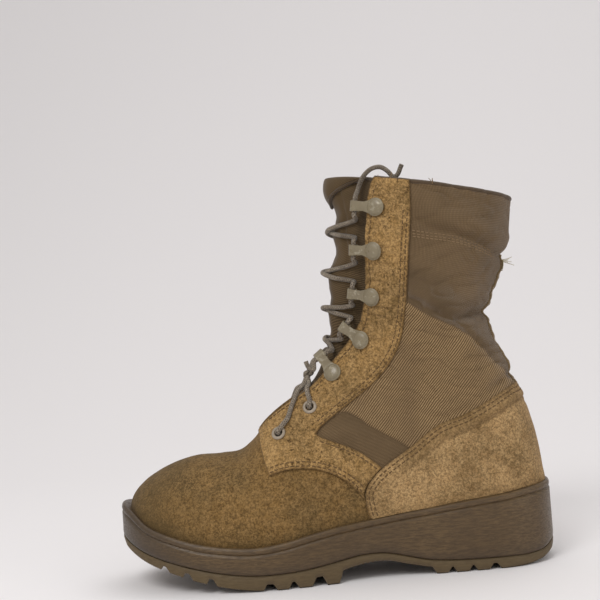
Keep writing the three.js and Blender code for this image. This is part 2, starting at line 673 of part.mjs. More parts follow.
// A speed hook: a riveted plate, and an arm that rises off the leather and folds back into a loop for the lace.
const LOOP_HEIGHT = HOOK.lift + HOOK.thickness - HOOK.loop;
function hookSolid() {
  const { rivet, plate, neck, width, thickness, loop, length, lift } = HOOK;
  const dome = turned([[0, 0], [plate, 0], [plate, thickness], [rivet * 0.8, 2.5], [0, 2.8]], 8);
  const side = new THREE.Shape([
    new THREE.Vector2(0, 0),
    new THREE.Vector2(length * 0.5, 0),
    new THREE.Vector2(length, lift),
    new THREE.Vector2(length, lift + thickness),
    new THREE.Vector2(length * 0.5, thickness),
    new THREE.Vector2(0, thickness),
  ]);
  const arm = new THREE.ExtrudeGeometry(side, { depth: 2, steps: 1, bevelEnabled: false }).translate(0, 0, -1);
  arm.rotateX(Math.PI / 2);
  // The arm narrows to its neck and flares again to the loop.
  const position = arm.getAttribute("position");
  for (let i = 0; i < position.count; i++) {
    const x = position.getX(i);
    const half = x < length * 0.4 ? plate * 0.8 : x < length * 0.8 ? neck : width;
    position.setY(i, position.getY(i) * half);
  }
  const corners = (radius) =>
    span(0, 2 * Math.PI, 6)
      .slice(1)
      .map((a) => new THREE.Vector2(radius * Math.cos(a), radius * Math.sin(a)));
  const ring = new THREE.Shape(corners(loop + thickness));
  ring.holes.push(new THREE.Path(corners(loop)));
  const tube = new THREE.ExtrudeGeometry(ring, { depth: 2 * width, bevelEnabled: false });
  tube.rotateX(Math.PI / 2).translate(length + loop, width, LOOP_HEIGHT);
  return wasm.Manifold.union([dome, solidOf(arm), solidOf(tube)]);
}

function vent() {
  const { radius, height } = VENT;
  const edge = GAP + height / 2;
  const top = GAP + height;
  return turned([[0, GAP], [radius, GAP], [radius, edge], [radius - 1.4, top], [0, top - 0.3]], 12);
}

// ---------------------------------------------------------------------------------------------- laces
// A round cord along a smooth path through the points, with a flat face at each end.
function cord(points, radius, facets, steps) {
  const path = new THREE.CatmullRomCurve3(points, false, "centripetal");
  const frames = path.computeFrenetFrames(steps, false);
  const rings = span(0, 1, steps).map((along, i) => {
    const middle = path.getPointAt(along);
    return span(0, 2 * Math.PI, facets)
      .slice(0, -1)
      .map((a) =>
        middle
          .clone()
          .addScaledVector(frames.normals[i], radius * Math.cos(a))
          .addScaledVector(frames.binormals[i], radius * Math.sin(a)),
      );
  });
  return loft(rings);
}

// A point over the throat with a given y, at a height over the skin.
const fromCentre = (t, y) => y - skinPoint(t, Math.PI).y;
function overThroat(t, y, out) {
  const offset = fromCentre(t, y);
  return skin(t, Math.PI - Math.sign(offset) * angleToSide(t, Math.abs(offset)), out);
}
// The section whose skin, at the point's own y, comes nearest to a point.
function sectionNear(point) {
  const misses = span(8, COLLAR, 360).map((t) => ({ t, miss: overThroat(t, point.y, 0).distanceTo(point) }));
  return misses.reduce((best, next) => (next.miss < best.miss ? next : best)).t;
}

// A point on the axis of a hook's loop. end is 1 for its upper mouth and -1 for its lower one.
function loopPoint(row, side, end, beyond = GAP) {
  const hook = HOOKS.find((h) => h.row === row);
  const aside = -side * end * (HOOK.width + beyond);
  return new THREE.Vector3(HOOK.length + HOOK.loop, aside, LOOP_HEIGHT).applyMatrix4(hookFrame(hook, side));
}
// The two points by which a lace comes straight out of a loop.
const outOfLoop = (row, side, end) => [loopPoint(row, side, end), loopPoint(row, side, end, GAP + 2.4)];

// How high a lace's middle must run to clear the tongue, or the suede beside it, by "clear".
function laceHeight(t, y, clear) {
  const distance = Math.abs(fromCentre(t, y));
  const overTongue = distance < throatAt("halfGap", t) - LACE_RADIUS - 1;
  return (overTongue ? tongueFace(t, distance) : SKIN_TO_OVERLAY) + LACE_RADIUS + clear;
}

// A lace over the throat from one run of points to another, clear of all below it.
function laceBar(start, finish, steps, clear) {
  const from = start.at(-1);
  const to = finish.at(-1);
  const between = span(0, 1, 5)
    .slice(1, -1)
    .map((s) => {
      const straight = from.clone().lerp(to, s);
      const t = sectionNear(straight);
      const foot = overThroat(t, straight.y, 0);
      const normal = overThroat(t, straight.y, 1).sub(foot);
      const least = laceHeight(t, straight.y, clear);
      return straight.clone().sub(foot).dot(normal) > least ? straight : foot.addScaledVector(normal, least);
    });
  return cord([...start, ...between, ...[...finish].reverse()], LACE_RADIUS, 5, steps);
}

// The two laces that cross between one row of hooks and the next.
function laceCross(row) {
  const bars = SIDES.map(({ sign }) => laceBar(outOfLoop(row, sign, 1), outOfLoop(row + 1, -sign, -1), 8, 2));
  return bars[0].add(bars[1]);
}

// The laces from both sides' eyelets are knotted together under the lowest hooks.
const KNOT = { centre: new THREE.Vector3(11.4, 2.5, 138), radius: 3.5 };
const beside = (x, y, z) => KNOT.centre.clone().add(new THREE.Vector3(x, y, z));

function laceLow(side) {
  const end = beside(3.4, side * 4.6, -3.8);
  const leads = EYELETS.map((eyelet) => {
    const over = new THREE.Vector3(0, 0, GAP + EYELET.height + LACE_RADIUS + 0.8);
    return laceBar([over.applyMatrix4(eyeletFrame(eyelet, side))], [end], 6, EYELET.height + 1);
  });
  return leads[0].add(leads[1]);
}

const laceToHook = () => laceBar(outOfLoop(3, -1, -1), [beside(-1.6, -4.8, 2.6)], 5, 0.8);

const laceKnot = () => solidOf(new THREE.SphereGeometry(KNOT.radius, 9, 6).translate(...KNOT.centre.toArray()));

// The free ends. The stub runs out of the lowest lateral hook; the others leave the top hooks.
const CORD_FACETS = 8;
const STUB = [
  [7.6, 13.2, 140.6],
  [11.2, 12, 142.4],
  [12.8, 11.2, 146.6],
];
const END_LATERAL = [
  [-31, 26, 260],
  [-34.5, 27, 268],
  [-41, 26, 274],
  [-48, 24, 275],
  [-53, 23, 271.5],
  [-56, 23, 268],
  [-58.8, 24, 269],
  [-60.6, 25.5, 272.5],
  [-62, 26.5, 275.5],
];
const END_MEDIAL = [
  [-31, -26, 260],
  [-34.5, -27, 268],
  [-41, -27, 272],
  [-50, -27, 268.5],
  [-58, -28.5, 262],
  [-66, -30, 257],
  [-74, -31, 254],
  [-82, -31.5, 253.5],
  [-88.5, -31, 247.5],
  [-91.5, -30.5, 239],
  [-92.5, -30, 231],
];
const vectors = (points) => points.map((point) => new THREE.Vector3(...point));

// ---------------------------------------------------------------------------------------------- the boot
const boot = new THREE.Group();
boot.name = "combat_boot";

const paint = (color, roughness, metalness = 0) =>
  new THREE.MeshStandardMaterial({ color, roughness, metalness });
const MATERIALS = {
  suede: paint(0x8e6c42, 0.95),
  canvas: paint(0x6b5a47, 0.85),
  midsole: paint(0x5c4c3d, 0.6),
  outsole: paint(0x5f4f36, 0.7),
  lining: paint(0x7a6850, 0.9),
  metal: paint(0x96896e, 0.45, 0.4),
  lace: paint(0x6e6456, 0.9),
};

// A cut at a shallow angle can leave loose slivers, so a piece is the largest body of its solid.
const largest = (solid) => solid.decompose().sort((a, b) => b.volume() - a.volume())[0];

function add(name, solid, material) {
  const mesh = largest(solid).getMesh();
  const geometry = new THREE.BufferGeometry();
  geometry.setAttribute("position", new THREE.BufferAttribute(new Float32Array(mesh.vertProperties), 3));
  geometry.setIndex(new THREE.BufferAttribute(new Uint32Array(mesh.triVerts), 1));
  geometry.computeVertexNormals();
  const piece = new THREE.Mesh(geometry, MATERIALS[material]);
  piece.name = name;
  boot.add(piece);
}

const throat = throatOpening();
const eyeletHoles = wasm.Manifold.union(
  EYELETS.flatMap((e) => SIDES.map(({ sign }) => placed(eyeletHole(), eyeletFrame(e, sign)))),
);

add("outsole", outsole(), "outsole");
add("midsole", midsole(), "midsole");
add("insole", insole(), "lining");
add("upper", upper(throat).subtract(eyeletHoles), "canvas");
add("tongue", tongue(), "canvas");
add("heel_counter", heelCounter(), "suede");
add("backstay", backstay(), "canvas");
for (const { name, sign } of SIDES) {
  add(`quarter_${name}`, quarter(sign, throat).subtract(eyeletHoles), "suede");
  for (const e of EYELETS) add(`eyelet_${name}_${e.row}`, placed(eyeletRing(), eyeletFrame(e, sign)), "metal");
  for (const h of HOOKS) add(`hook_${name}_${h.row}`, placed(hookSolid(), hookFrame(h, sign)), "metal");
}
for (const v of VENTS) {
  const place = locate(v.x, profileAt("rim", v.x) + v.above, -1);
  add(`vent_${v.row}`, placed(vent(), frameAt(place, skin(place.t + 0.5, place.angle), 3 * FACET)), "metal");
}
for (const { row } of HOOKS.slice(0, -1)) add(`lace_cross_${row}`, laceCross(row), "lace");
for (const { name, sign } of SIDES) add(`lace_low_${name}`, laceLow(sign), "lace");
add("lace_to_hook_medial", laceToHook(), "lace");
add("lace_knot", laceKnot(), "lace");

function addCord(name, points, steps) {
  add(name, cord(points, LACE_RADIUS, CORD_FACETS, steps), "lace");
}
addCord("lace_stub", [loopPoint(3, 1, 1, 0), ...outOfLoop(3, 1, -1), ...vectors(STUB)], 10);
addCord("lace_end_lateral", [...outOfLoop(7, 1, 1), ...vectors(END_LATERAL)], 14);
addCord("lace_end_medial", [...outOfLoop(7, -1, 1), ...vectors(END_MEDIAL)], 18);

export default boot;
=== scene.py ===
"""The looks of a left combat boot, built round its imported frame.

Lengths in this file are millimetres in the frame's axes (+X to the toe, +Y to the lateral side, +Z up),
and make() turns them into metres. The upper is a sock of sections: skin(t, angle, out) gives any point of
it. Angle 0 is the under or back line, pi the top or front line, and from 0 to pi is the lateral side.
"""

import math

import bpy
import numpy as np
from mathutils import Matrix, Vector, noise
from mathutils.bvhtree import BVHTree


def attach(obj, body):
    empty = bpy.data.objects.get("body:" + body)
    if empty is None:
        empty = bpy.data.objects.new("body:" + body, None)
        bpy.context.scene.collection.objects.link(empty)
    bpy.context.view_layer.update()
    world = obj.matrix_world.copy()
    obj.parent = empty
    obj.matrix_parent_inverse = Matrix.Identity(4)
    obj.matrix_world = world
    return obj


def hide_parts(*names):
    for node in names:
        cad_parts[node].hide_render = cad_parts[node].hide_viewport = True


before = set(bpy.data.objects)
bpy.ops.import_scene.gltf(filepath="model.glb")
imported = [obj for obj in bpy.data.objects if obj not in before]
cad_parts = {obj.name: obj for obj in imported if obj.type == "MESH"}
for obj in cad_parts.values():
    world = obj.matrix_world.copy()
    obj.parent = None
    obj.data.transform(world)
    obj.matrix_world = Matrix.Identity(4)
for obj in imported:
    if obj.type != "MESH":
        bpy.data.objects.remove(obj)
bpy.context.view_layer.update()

PI = math.pi
MM = 0.001
HALF_LENGTH = 150.0  # of the sole
WALL = 2.6  # of the upper
GAP = 0.3  # between pieces that rest on each other
OVERLAY = 2.0  # a suede panel's face over the skin
TONGUE_THICKNESS = 3.6
LACE = 1.6  # radius
LACE_STEP = 0.8  # between the points of a lace's path
PANEL_BACK = 0.1  # a panel's back over the skin
CLOTH_STEP = 12  # of the tongue's cloth from one section to the next
SIDES = {"lateral": 1, "medial": -1}
SIDE_NAMES = {side: name for name, side in SIDES.items()}


# ---- tables
class Table:
    """Rows of numbers with named columns, read smoothly between the rows of the first column."""

    def __init__(self, columns, rows, key=lambda x: x):
        self.columns = columns.split()
        self.y = np.array(rows, float)
        self.key = key
        self.x = key(self.y[:, 0])
        step = self.x[1:] - self.x[:-1]
        self.slope = np.empty_like(self.y)
        self.slope[1:-1] = (self.y[2:] - self.y[:-2]) / (step[1:] + step[:-1])[:, None]
        self.slope[0] = (self.y[1] - self.y[0]) / step[0]
        self.slope[-1] = (self.y[-1] - self.y[-2]) / step[-1]

    def read(self, at):
        at = self.key(np.asarray(at, float))
        i = np.clip(np.searchsorted(self.x, at) - 1, 0, len(self.x) - 2)
        width = (self.x[i + 1] - self.x[i])[..., None]
        s = np.clip((at - self.x[i])[..., None] / width, 0, 1)
        return (
            self.y[i] * (1 + 2 * s) * (1 - s) ** 2
            + self.slope[i] * width * s * (1 - s) ** 2
            + self.y[i + 1] * s * s * (3 - 2 * s)
            - self.slope[i + 1] * width * s * s * (1 - s)
        )

    def __call__(self, column, at):
        return self.read(at)[..., self.columns.index(column)]


def round_angle(x):
    """The sole's ends are round, so its plan is smooth in this angle."""
    return np.arccos(np.clip(-np.asarray(x, float) / HALF_LENGTH, -1, 1))


OUTLINE = Table("x lateral medial", [
    (-150, 0, 0), (-146, 17, -17), (-136, 29, -29), (-118, 36.5, -36.5), (-90, 39, -38), (-55, 39.5, -35.5),
    (-20, 42.5, -35), (10, 47.5, -40), (40, 51.5, -48.5), (65, 52, -53), (90, 48.5, -53.5), (112, 41, -50.5),
    (130, 29.5, -43), (143, 14, -31), (150, -9, -9),
], round_angle)

PROFILE = Table("x rim parting base tread floor", [
    (-150, 53.5, 14, 12, 8.5, 30), (-140, 53, 9.6, 7, 3.6, 30), (-128, 51.8, 8, 5, 1, 30),
    (-114, 50, 8, 4.4, 0, 30), (-84, 47, 8.4, 4.2, 0, 29.5), (-61, 44.3, 10, 5, 0, 29),
    (-46, 42.8, 13.6, 8.2, 0, 28.5), (-30, 41, 17.4, 12, 0, 27.5), (-14, 39.2, 17.4, 11.2, 0, 26),
    (2, 37.2, 14.8, 8, 0, 24), (18, 34.4, 12.3, 6, 0, 21.5), (36, 30.8, 10.8, 4.8, 0, 19.3),
    (55, 29, 10.8, 5.2, 0.6, 18.5), (75, 30.4, 13, 8.2, 3.4, 20.2), (95, 33.6, 16.8, 12.6, 8.2, 23.5),
    (115, 39, 21.6, 18, 14.4, 28.8), (130, 44.5, 26, 23.2, 19.8, 34), (142, 53, 31, 28.6, 25.6, 38.5),
    (150, 57, 35.4, 33.4, 30.6, 41),
])

SECTIONS = Table("t top_x top_z bottom_x bottom_z centre half widest low high", [
    (t, *row) for t, row in enumerate([
        (143.6, 50, 143.6, 44, -9.8, 3, 0.5, 2, 2),
        (142.6, 57.4, 142.6, 36, -9.8, 12, 0.4, 2.4, 2),
        (140.2, 62.2, 140.2, 31, -9.6, 19.5, 0.38, 2.6, 2),
        (135, 68, 135, 28, -9, 27, 0.36, 2.8, 2),
        (126, 74.6, 126, 24, -8, 34, 0.34, 3, 2),
        (113, 81, 113, 19, -6.2, 39.5, 0.32, 3, 2),
        (97, 85.6, 97, 15, -4, 44, 0.3, 3, 2),
        (80, 86.6, 80, 12, -1.8, 46.6, 0.3, 3, 2),
        (64, 88.2, 61, 10, -0.4, 47, 0.3, 3, 2),
        (52.5, 95.6, 41, 9, 1.2, 45.5, 0.3, 3, 1.95),
        (42.5, 108.5, 18, 11, 3, 42, 0.3, 2.9, 1.9),
        (29, 121, -12, 14, 3, 38.6, 0.32, 2.8, 1.85),
        (14, 133, -48, 17, 2, 36.6, 0.34, 2.7, 1.85),
        (1, 148, -90, 18, 0.8, 35.6, 0.36, 2.6, 1.9),
        (-8.5, 163, -129, 21, 0, 35.6, 0.38, 2.4, 1.95),
        (-13.5, 176, -144.2, 44, 0, 36, 0.4, 2.3, 2),
        (-15.6, 186, -143.8, 64, 0, 37, 0.42, 2.2, 2),
        (-17, 196, -141.4, 84, 0, 38, 0.44, 2.1, 2),
        (-18, 206, -136.4, 104, 0, 39, 0.46, 2, 2),
        (-19, 216, -130.6, 122, 0, 40, 0.48, 2, 2),
        (-19.6, 225, -124.6, 138, 0, 40.6, 0.5, 2, 2),
        (-20, 233, -118.4, 153, 0, 41, 0.5, 2, 2),
        (-20.3, 241, -115.4, 168, 0, 41.2, 0.5, 2, 2),
        (-20.6, 249, -120.4, 186, 0, 41.5, 0.5, 2, 2),
        (-20.8, 257, -128.8, 205, 0, 42, 0.5, 2, 2),
        (-21, 265, -135.4, 226, 0, 42, 0.5, 2, 2),
        (-21, 272, -139, 248, 0, 41, 0.5, 2, 2),
    ])
])
COLLAR = 26  # the last section, at the top edge

THROAT = Table("t half_gap swell", [
    (9.3, 3, -6), (9.7, 7, -6), (11, 10, -6), (12.3, 12, -3.5), (13.4, 12.8, 0.5), (14.5, 15.8, 5.5),
    (15.7, 19.5, 8), (17, 22.2, 9), (19.3, 26.2, 6), (22.7, 29.4, 5), (24.7, 30, 8), (26, 31.5, 9),
])
THROAT_START = 9.3
THROAT_SECTION = 13  # about how far apart two sections lie there

# Outlines in side view, as runs of smooth line that meet at corners.
QUARTER_RUNS = [
    [(42.5, 73.4), (36, 75.6), (27.5, 76.7), (12, 75.6), (-1, 70.9), (-12, 62.6), (-19, 52.6), (-23, 42),
     (-24, 34)],
    [(-23.2, 34), (-19.2, 58), (-25, 66.5), (-32.4, 73.4)],
    [(-32.4, 73.4), (-18, 84.9), (-3, 92), (6.5, 95.8), (9.6, 98.2)],
    [(9.6, 98.2), (6.4, 102), (-9.1, 113), (-23.7, 122.9), (-38.7, 135.8), (-49.6, 151.3), (-54.5, 166.8),
     (-57.5, 186.2), (-60.7, 215), (-64.3, 243.8), (-66, 290)],
    [(0, 290), (52, 128)],
    [(49, 106), (47.6, 98), (47, 92.3), (45.6, 83.4), (42.5, 73.4)],
]
COUNTER_LINE = [
    (-24, 34), (-20, 57.5), (-25.5, 66.5), (-33, 73), (-53.7, 86), (-72.6, 99), (-88.5, 104.2),
    (-106.4, 112.5), (-124.5, 120.5), (-160, 123),
]
# The ribbed cloth between the eyestay, the counter and the fold across the shaft.
RIBBED_TOP = [
    (-56, 184), (-69.9, 173.5), (-82.6, 166.5), (-97.5, 158), (-108.8, 146), (-121, 131), (-134, 118),
]
RIBBED_FRONT = [(14, 97), (-10.9, 111.6), (-25.5, 101.7), (-47.6, 87.8), (-55, 82)]
RIB = {"pitch": 1.4, "slope": math.radians(50)}

# Creases: side (0 for both), depth (a trough is negative), half width, and the line in side view.
CREASE_DEPTH = 1.25  # what each depth is multiplied by
CREASES = [
    (0, -2.2, 3.2, [(-66, 238), (-77, 229.5), (-92, 226), (-108, 219), (-127, 210), (-140, 205)]),
    (0, 1.4, 6, [(-72, 243), (-88, 236), (-106, 230), (-124, 222), (-140, 218)]),
    (1, -0.8, 5, [(-84, 268), (-100, 252), (-112, 240)]),
    (-1, -0.9, 5, [(-76, 262), (-90, 250), (-108, 244)]),
    (0, -1.6, 3, [(-57, 186), (-70, 177), (-84, 170.5), (-94, 168.5)]),
    (0, -3.4, 3.2, [(-88, 168), (-96, 170), (-106, 172.5), (-118, 171), (-130, 170)]),
    (0, 1.8, 7, [(-70, 186), (-86, 181), (-102, 182), (-118, 184)]),
    (1, -1.6, 3, [(-92, 166), (-101, 154), (-112, 142), (-120, 131)]),
    (1, 1.6, 6, [(-98, 163), (-110, 150), (-122, 139)]),
    (-1, -1.3, 3.4, [(-90, 167), (-102, 158), (-116, 148), (-128, 142)]),
    (0, -1.5, 3, [(-100, 112), (-112, 121), (-122, 126.5), (-140, 129)]),
    (0, 1.0, 6, [(-98, 124), (-112, 131), (-128, 136)]),
    (1, -1.1, 2.6, [(-69, 104), (-83, 105), (-94, 110), (-100, 117)]),
    (1, -0.8, 2.2, [(-50, 113), (-62, 108), (-76, 103), (-84, 101)]),
    (1, -0.9, 2.2, [(-12, 109), (-24, 101), (-36, 93), (-50, 85.5)]),
    (0, 0.7, 5, [(-8, 103), (-20, 95), (-34, 86)]),
    (0, -0.6, 7, [(70, 60), (66, 74), (62, 86), (60, 92)]),
    (0, -0.5, 5, [(86, 66), (80, 78), (76, 88)]),
    (0, 0.6, 7, [(80, 60), (74, 74), (70, 86)]),
    (0, -0.6, 2, [(-140, 108), (-118, 104), (-98, 97), (-82, 90.5), (-72, 88)]),
    (0, 0.5, 3.5, [(-140, 113), (-118, 109.5), (-98, 102.5), (-80, 95.5)]),
    (0, -0.7, 4, [(-32, 203), (-46, 200), (-58, 196)]),
    (0, -0.6, 5, [(-26, 172), (-38, 168), (-50, 166)]),
]

EYELETS = {1: (34.2, 99.4), 2: (12, 115.2)}
HOOKS = {  # rivet x and z, and the tip of the loop
    3: (-5.7, 137.1, -0.6, 146.6),
    4: (-26.6, 158.7, -17.4, 168.4),
    5: (-36, 187.6, -25.2, 191.3),
    6: (-39.3, 218.3, -28.7, 220.5),
    7: (-42.6, 247.3, -30.7, 249.1),
}
VENTS = {1: (-5, 8), 2: (20, 10)}  # x, and height over the rim
EYELET = {"outer": 4.9, "hole": 2.7, "height": 1.1}
HOOK = {"rivet": 5.4, "plate": 6.2, "neck": 2.4, "width": 3.6, "thickness": 1, "loop": 2.2, "length": 12.2,
        "lift": 3.2}
HOOK_OUT = OVERLAY + GAP + 0.2  # a hook's plate over the skin
LOOP_HEIGHT = HOOK["lift"] + HOOK["thickness"] - HOOK["loop"]
KNOT = np.array([11.4, 2.5, 138.0])

# The free ends' routes, from where each leaves its hook.
STUB = [(7.6, 13.2, 140.6), (11.2, 12, 142.4), (12.8, 11.2, 146.6)]
END_LATERAL = [
    (-31, 26, 260), (-34.5, 27, 268), (-41, 26, 274), (-48, 24, 275), (-53, 23, 271.5), (-56, 23, 268),
    (-58.8, 24, 269), (-60.6, 25.5, 272.5), (-62, 26.5, 275.5),
]
END_MEDIAL = [
    (-31, -26, 260), (-34.5, -27, 268), (-41, -27, 272), (-50, -27, 268.5), (-58, -28.5, 262),
    (-66, -30, 257), (-74, -31, 254), (-82, -31.5, 253.5), (-88.5, -31, 247.5), (-91.5, -30.5, 239),
    (-92.5, -30, 231),
]


# ---- the sock
def skin_point(t, angle):
    t, angle = np.broadcast_arrays(np.asarray(t, float), np.asarray(angle, float))
    rows = np.moveaxis(SECTIONS.read(t), -1, 0)
    top_x, top_z, bottom_x, bottom_z, centre, half_width, widest, low, high = rows[1:]
    turn = np.mod(angle, 2 * PI)
    side = np.where(turn <= PI, 1, -1)
    half = np.where(side > 0, turn, 2 * PI - turn)
    lower = half < PI / 2
    power = 2 / np.where(lower, low, high)
    along = np.abs(np.cos(half)) ** power
    across = np.abs(np.sin(half)) ** power
    share = np.where(lower, widest * (1 - along), widest + (1 - widest) * along)
    x = bottom_x + (top_x - bottom_x) * share
    z = bottom_z + (top_z - bottom_z) * share
    return np.stack([x, centre + side * half_width * across, z], -1)


def unit(v):
    return v / np.maximum(np.linalg.norm(v, axis=-1, keepdims=True), 1e-12)


def skin_normal(t, angle):
    step = 0.02
    t, angle = np.broadcast_arrays(np.asarray(t, float), np.asarray(angle, float))
    along_t = skin_point(np.minimum(t + step, COLLAR), angle) - skin_point(np.maximum(t - step, 0), angle)
    along_angle = skin_point(t, angle + step) - skin_point(t, angle - step)
    return unit(np.cross(along_t, along_angle))


def skin(t, angle, out=0.0):
    return skin_point(t, angle) + skin_normal(t, angle) * np.asarray(out, float)[..., None]


def angle_to_side(t, distance):
    """The angle, measured from the front line, at which the skin lies that far to the side."""
    t, distance = np.broadcast_arrays(np.asarray(t, float), np.asarray(distance, float))
    low, high = np.zeros(t.shape), np.full(t.shape, PI / 2)
    middle_y = skin_point(t, PI)[..., 1]
    for _ in range(26):  # halves the interval each time
        middle = (low + high) / 2
        short = skin_point(t, PI - middle)[..., 1] - middle_y < distance
        low, high = np.where(short, middle, low), np.where(short, high, middle)
    return (low + high) / 2


def locate(x, z, side):
    """The t and angle of the skin point that is seen at (x, z) from one side, by a search that narrows."""
    t, angle, reach_t, reach_angle = 12.0, PI / 2, 14.0, PI / 2
    for _ in range(9):
        steps = np.linspace(-1, 1, 29)
        ts = np.clip(t + reach_t * steps, 0, COLLAR)[:, None]
        angles = np.clip(angle + reach_angle * steps, 0, PI)[None, :]
        p = skin_point(ts, angles)
        i, j = np.unravel_index(np.argmin(np.hypot(p[..., 0] - x, p[..., 2] - z)), p.shape[:2])
        t, angle = ts[i, 0], angles[0, j]
        reach_t, reach_angle = reach_t / 3, reach_angle / 3
    return t, angle if side > 0 else 2 * PI - angle


def ridge(distance, width):
    """A smooth hump, 1 on its line."""
    return np.exp(-((distance / width) ** 2))


def running(line):
    """How far along it each point of a line lies."""
    return np.concatenate([[0], np.cumsum(np.linalg.norm(np.diff(line, axis=0), axis=1))])


def smoothstep(x, low, high):
    s = np.clip((np.asarray(x, float) - low) / (high - low), 0, 1)
    return s * s * (3 - 2 * s)


def bumps(points, size, seed=0.0):
    """Smooth noise from -1 to 1 over points, with bumps of about that size."""
    flat = points.reshape(-1, 3) / size + seed
    return np.array([noise.noise(p) for p in flat.tolist()]).reshape(points.shape[:-1])


def spline(points, step):
    """A smooth line through the points (centripetal Catmull-Rom), as points about a step apart."""
    p = np.asarray(points, float)
    p = np.vstack([2 * p[0] - p[1], p, 2 * p[-1] - p[-2]])
    knots = np.concatenate([[0], np.cumsum(np.sqrt(np.linalg.norm(np.diff(p, axis=0), axis=1)))])
    line = []
    for i in range(1, len(p) - 2):
        s = np.linspace(knots[i], knots[i + 1], 24, endpoint=False)[:, None]
        level = [(p[k], knots[k], knots[k]) for k in range(i - 1, i + 3)]
        while len(level) > 1:
            level = [
                ((hi - s) / (hi - lo) * a + (s - lo) / (hi - lo) * b, lo, hi)
                for (a, lo, _), (b, _, hi) in zip(level, level[1:])
            ]
        line.append(level[0][0])
    line = np.vstack(line + [p[-2:-1]])
    run = running(line)
    even = np.linspace(0, run[-1], max(2, round(run[-1] / step) + 1))
    return np.stack([np.interp(even, run, line[:, k]) for k in range(line.shape[1])], 1)


def line_distance(line, x, z):
    """Distance to an open line in side view, and how far along it the nearest point is, from 0 to 1."""
    line = np.asarray(line, float)
    best, where = np.full(x.shape, np.inf), np.zeros(x.shape)
    for i, (a, b) in enumerate(zip(line, line[1:])):
        edge = b - a
        s = np.clip(((x - a[0]) * edge[0] + (z - a[1]) * edge[1]) / max(edge @ edge, 1e-12), 0, 1)
        d = np.hypot(x - a[0] - s * edge[0], z - a[1] - s * edge[1])
        nearer = d < best
        best, where = np.where(nearer, d, best), np.where(nearer, (i + s) / (len(line) - 1), where)
    return best, where


def area_field(outline, x, z):
    """Signed distance to a closed outline in side view, negative inside."""
    outline = np.asarray(outline, float)
    distance, _ = line_distance(np.vstack([outline, outline[:1]]), x, z)
    inside = np.zeros(x.shape, bool)
    for a, b in zip(outline, np.roll(outline, -1, 0)):
        if a[1] != b[1]:
            at = a[0] + (z - a[1]) / (b[1] - a[1]) * (b[0] - a[0])
            inside ^= ((a[1] > z) != (b[1] > z)) & (x < at)
    return np.where(inside, -distance, distance)


def joined(runs):
    return np.vstack([spline(run, 1.5) for run in runs])


QUARTER = joined(QUARTER_RUNS)
COUNTER = np.vstack([spline(COUNTER_LINE, 1.5), [(-160, 10), (-24, 10)]])
RIBBED = np.vstack([
    spline(RIBBED_TOP, 2), [(-150, 60), (-55, 60)], spline(RIBBED_FRONT[::-1], 2), [(40, 190)],
])


ROUND_THE_BACK = -126  # a crease that ends beyond this x goes on round the heel


def relief(p):
    """Creases and slack: how far the surface stands off the skin."""
    x, y, z = np.moveaxis(p, -1, 0)
    out = np.zeros(x.shape)
    for side, depth, width, line in CREASES:
        distance, along = line_distance(spline(line, 3), x, z)
        ends = np.sqrt(np.clip(np.sin(PI * np.clip(along, 0.001, 0.999)), 0, 1))
        reach = 1 if side == 0 else smoothstep(side * y, 2, 16)
        if line[-1][0] < ROUND_THE_BACK:
            ends = np.where(along > 0.5, 1, ends)
        out += CREASE_DEPTH * depth * ends * reach * ridge(distance, width)
    # The shaft's cloth is slacker than the suede, and it wrinkles.
    slack = smoothstep(z, 95, 160) * smoothstep(-x, 40, 75)
    cloth = smoothstep(z, 95, 125) * smoothstep(-x, 5, 30)
    wrinkle = 1 - np.abs(bumps(p * (1.0, 1.0, 1.9), 17, 11.0)) * 4
    out += (0.25 + 0.75 * slack) * bumps(p, 24) + 0.18 * bumps(p, 9, 7.0)
    out -= 0.8 * cloth * smoothstep(wrinkle, 0.2, 1)
    return out


# ---- meshes
def make(name, points, faces, material, uv=None, values=None, sharp=50, node_names=(), slot=None):
    """An object from points in millimetres. values: numbers for each point, which the materials read."""
    mesh = bpy.data.meshes.new(name)
    faces = [list(map(int, f)) for f in faces]
    mesh.from_pydata((np.asarray(points) * MM).tolist(), [], faces)
    loops = np.zeros(len(mesh.loops), np.int32)
    mesh.loops.foreach_get("vertex_index", loops)
    if uv is not None:
        layer = mesh.uv_layers.new(name="Cloth")
        layer.uv.foreach_set("vector", np.asarray(uv, np.float32)[loops].ravel())
    for key, numbers in (values or {}).items():
        made = mesh.attributes.new(key, "FLOAT", "POINT")
        made.data.foreach_set("value", np.asarray(numbers, np.float32).ravel())
    mesh.polygons.foreach_set("use_smooth", np.ones(len(mesh.polygons), bool))
    mesh.update()
    mesh.set_sharp_from_angle(angle=math.radians(sharp))
    for m in material if isinstance(material, list) else [material]:
        mesh.materials.append(m)
    piece = bpy.data.objects.new(name, mesh)
    bpy.context.scene.collection.objects.link(piece)
    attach(piece, "root")
    if node_names:
        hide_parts(*node_names)
    return piece


def walls(faces, back):
    """Faces that close a sheet along its border. Its back's points come "back" places after the front's."""
    edges = dict.fromkeys((a, b) for face in faces for a, b in zip(face, [*face[1:], face[0]]))
    return [[b, a, a + back, b + back] for a, b in edges if (b, a) not in edges]


def closed_sheet(front, back, faces):
    count = len(front)
    turned = [[i + count for i in face[::-1]] for face in faces]
    return np.vstack([front, back]), faces + turned + walls(faces, count)


def patch_faces(rows, columns):
    """The quads of a grid of points."""
    i = np.arange(rows * columns).reshape(rows, columns)
    return np.stack([i[:-1, :-1], i[:-1, 1:], i[1:, 1:], i[1:, :-1]], -1).reshape(-1, 4).tolist()


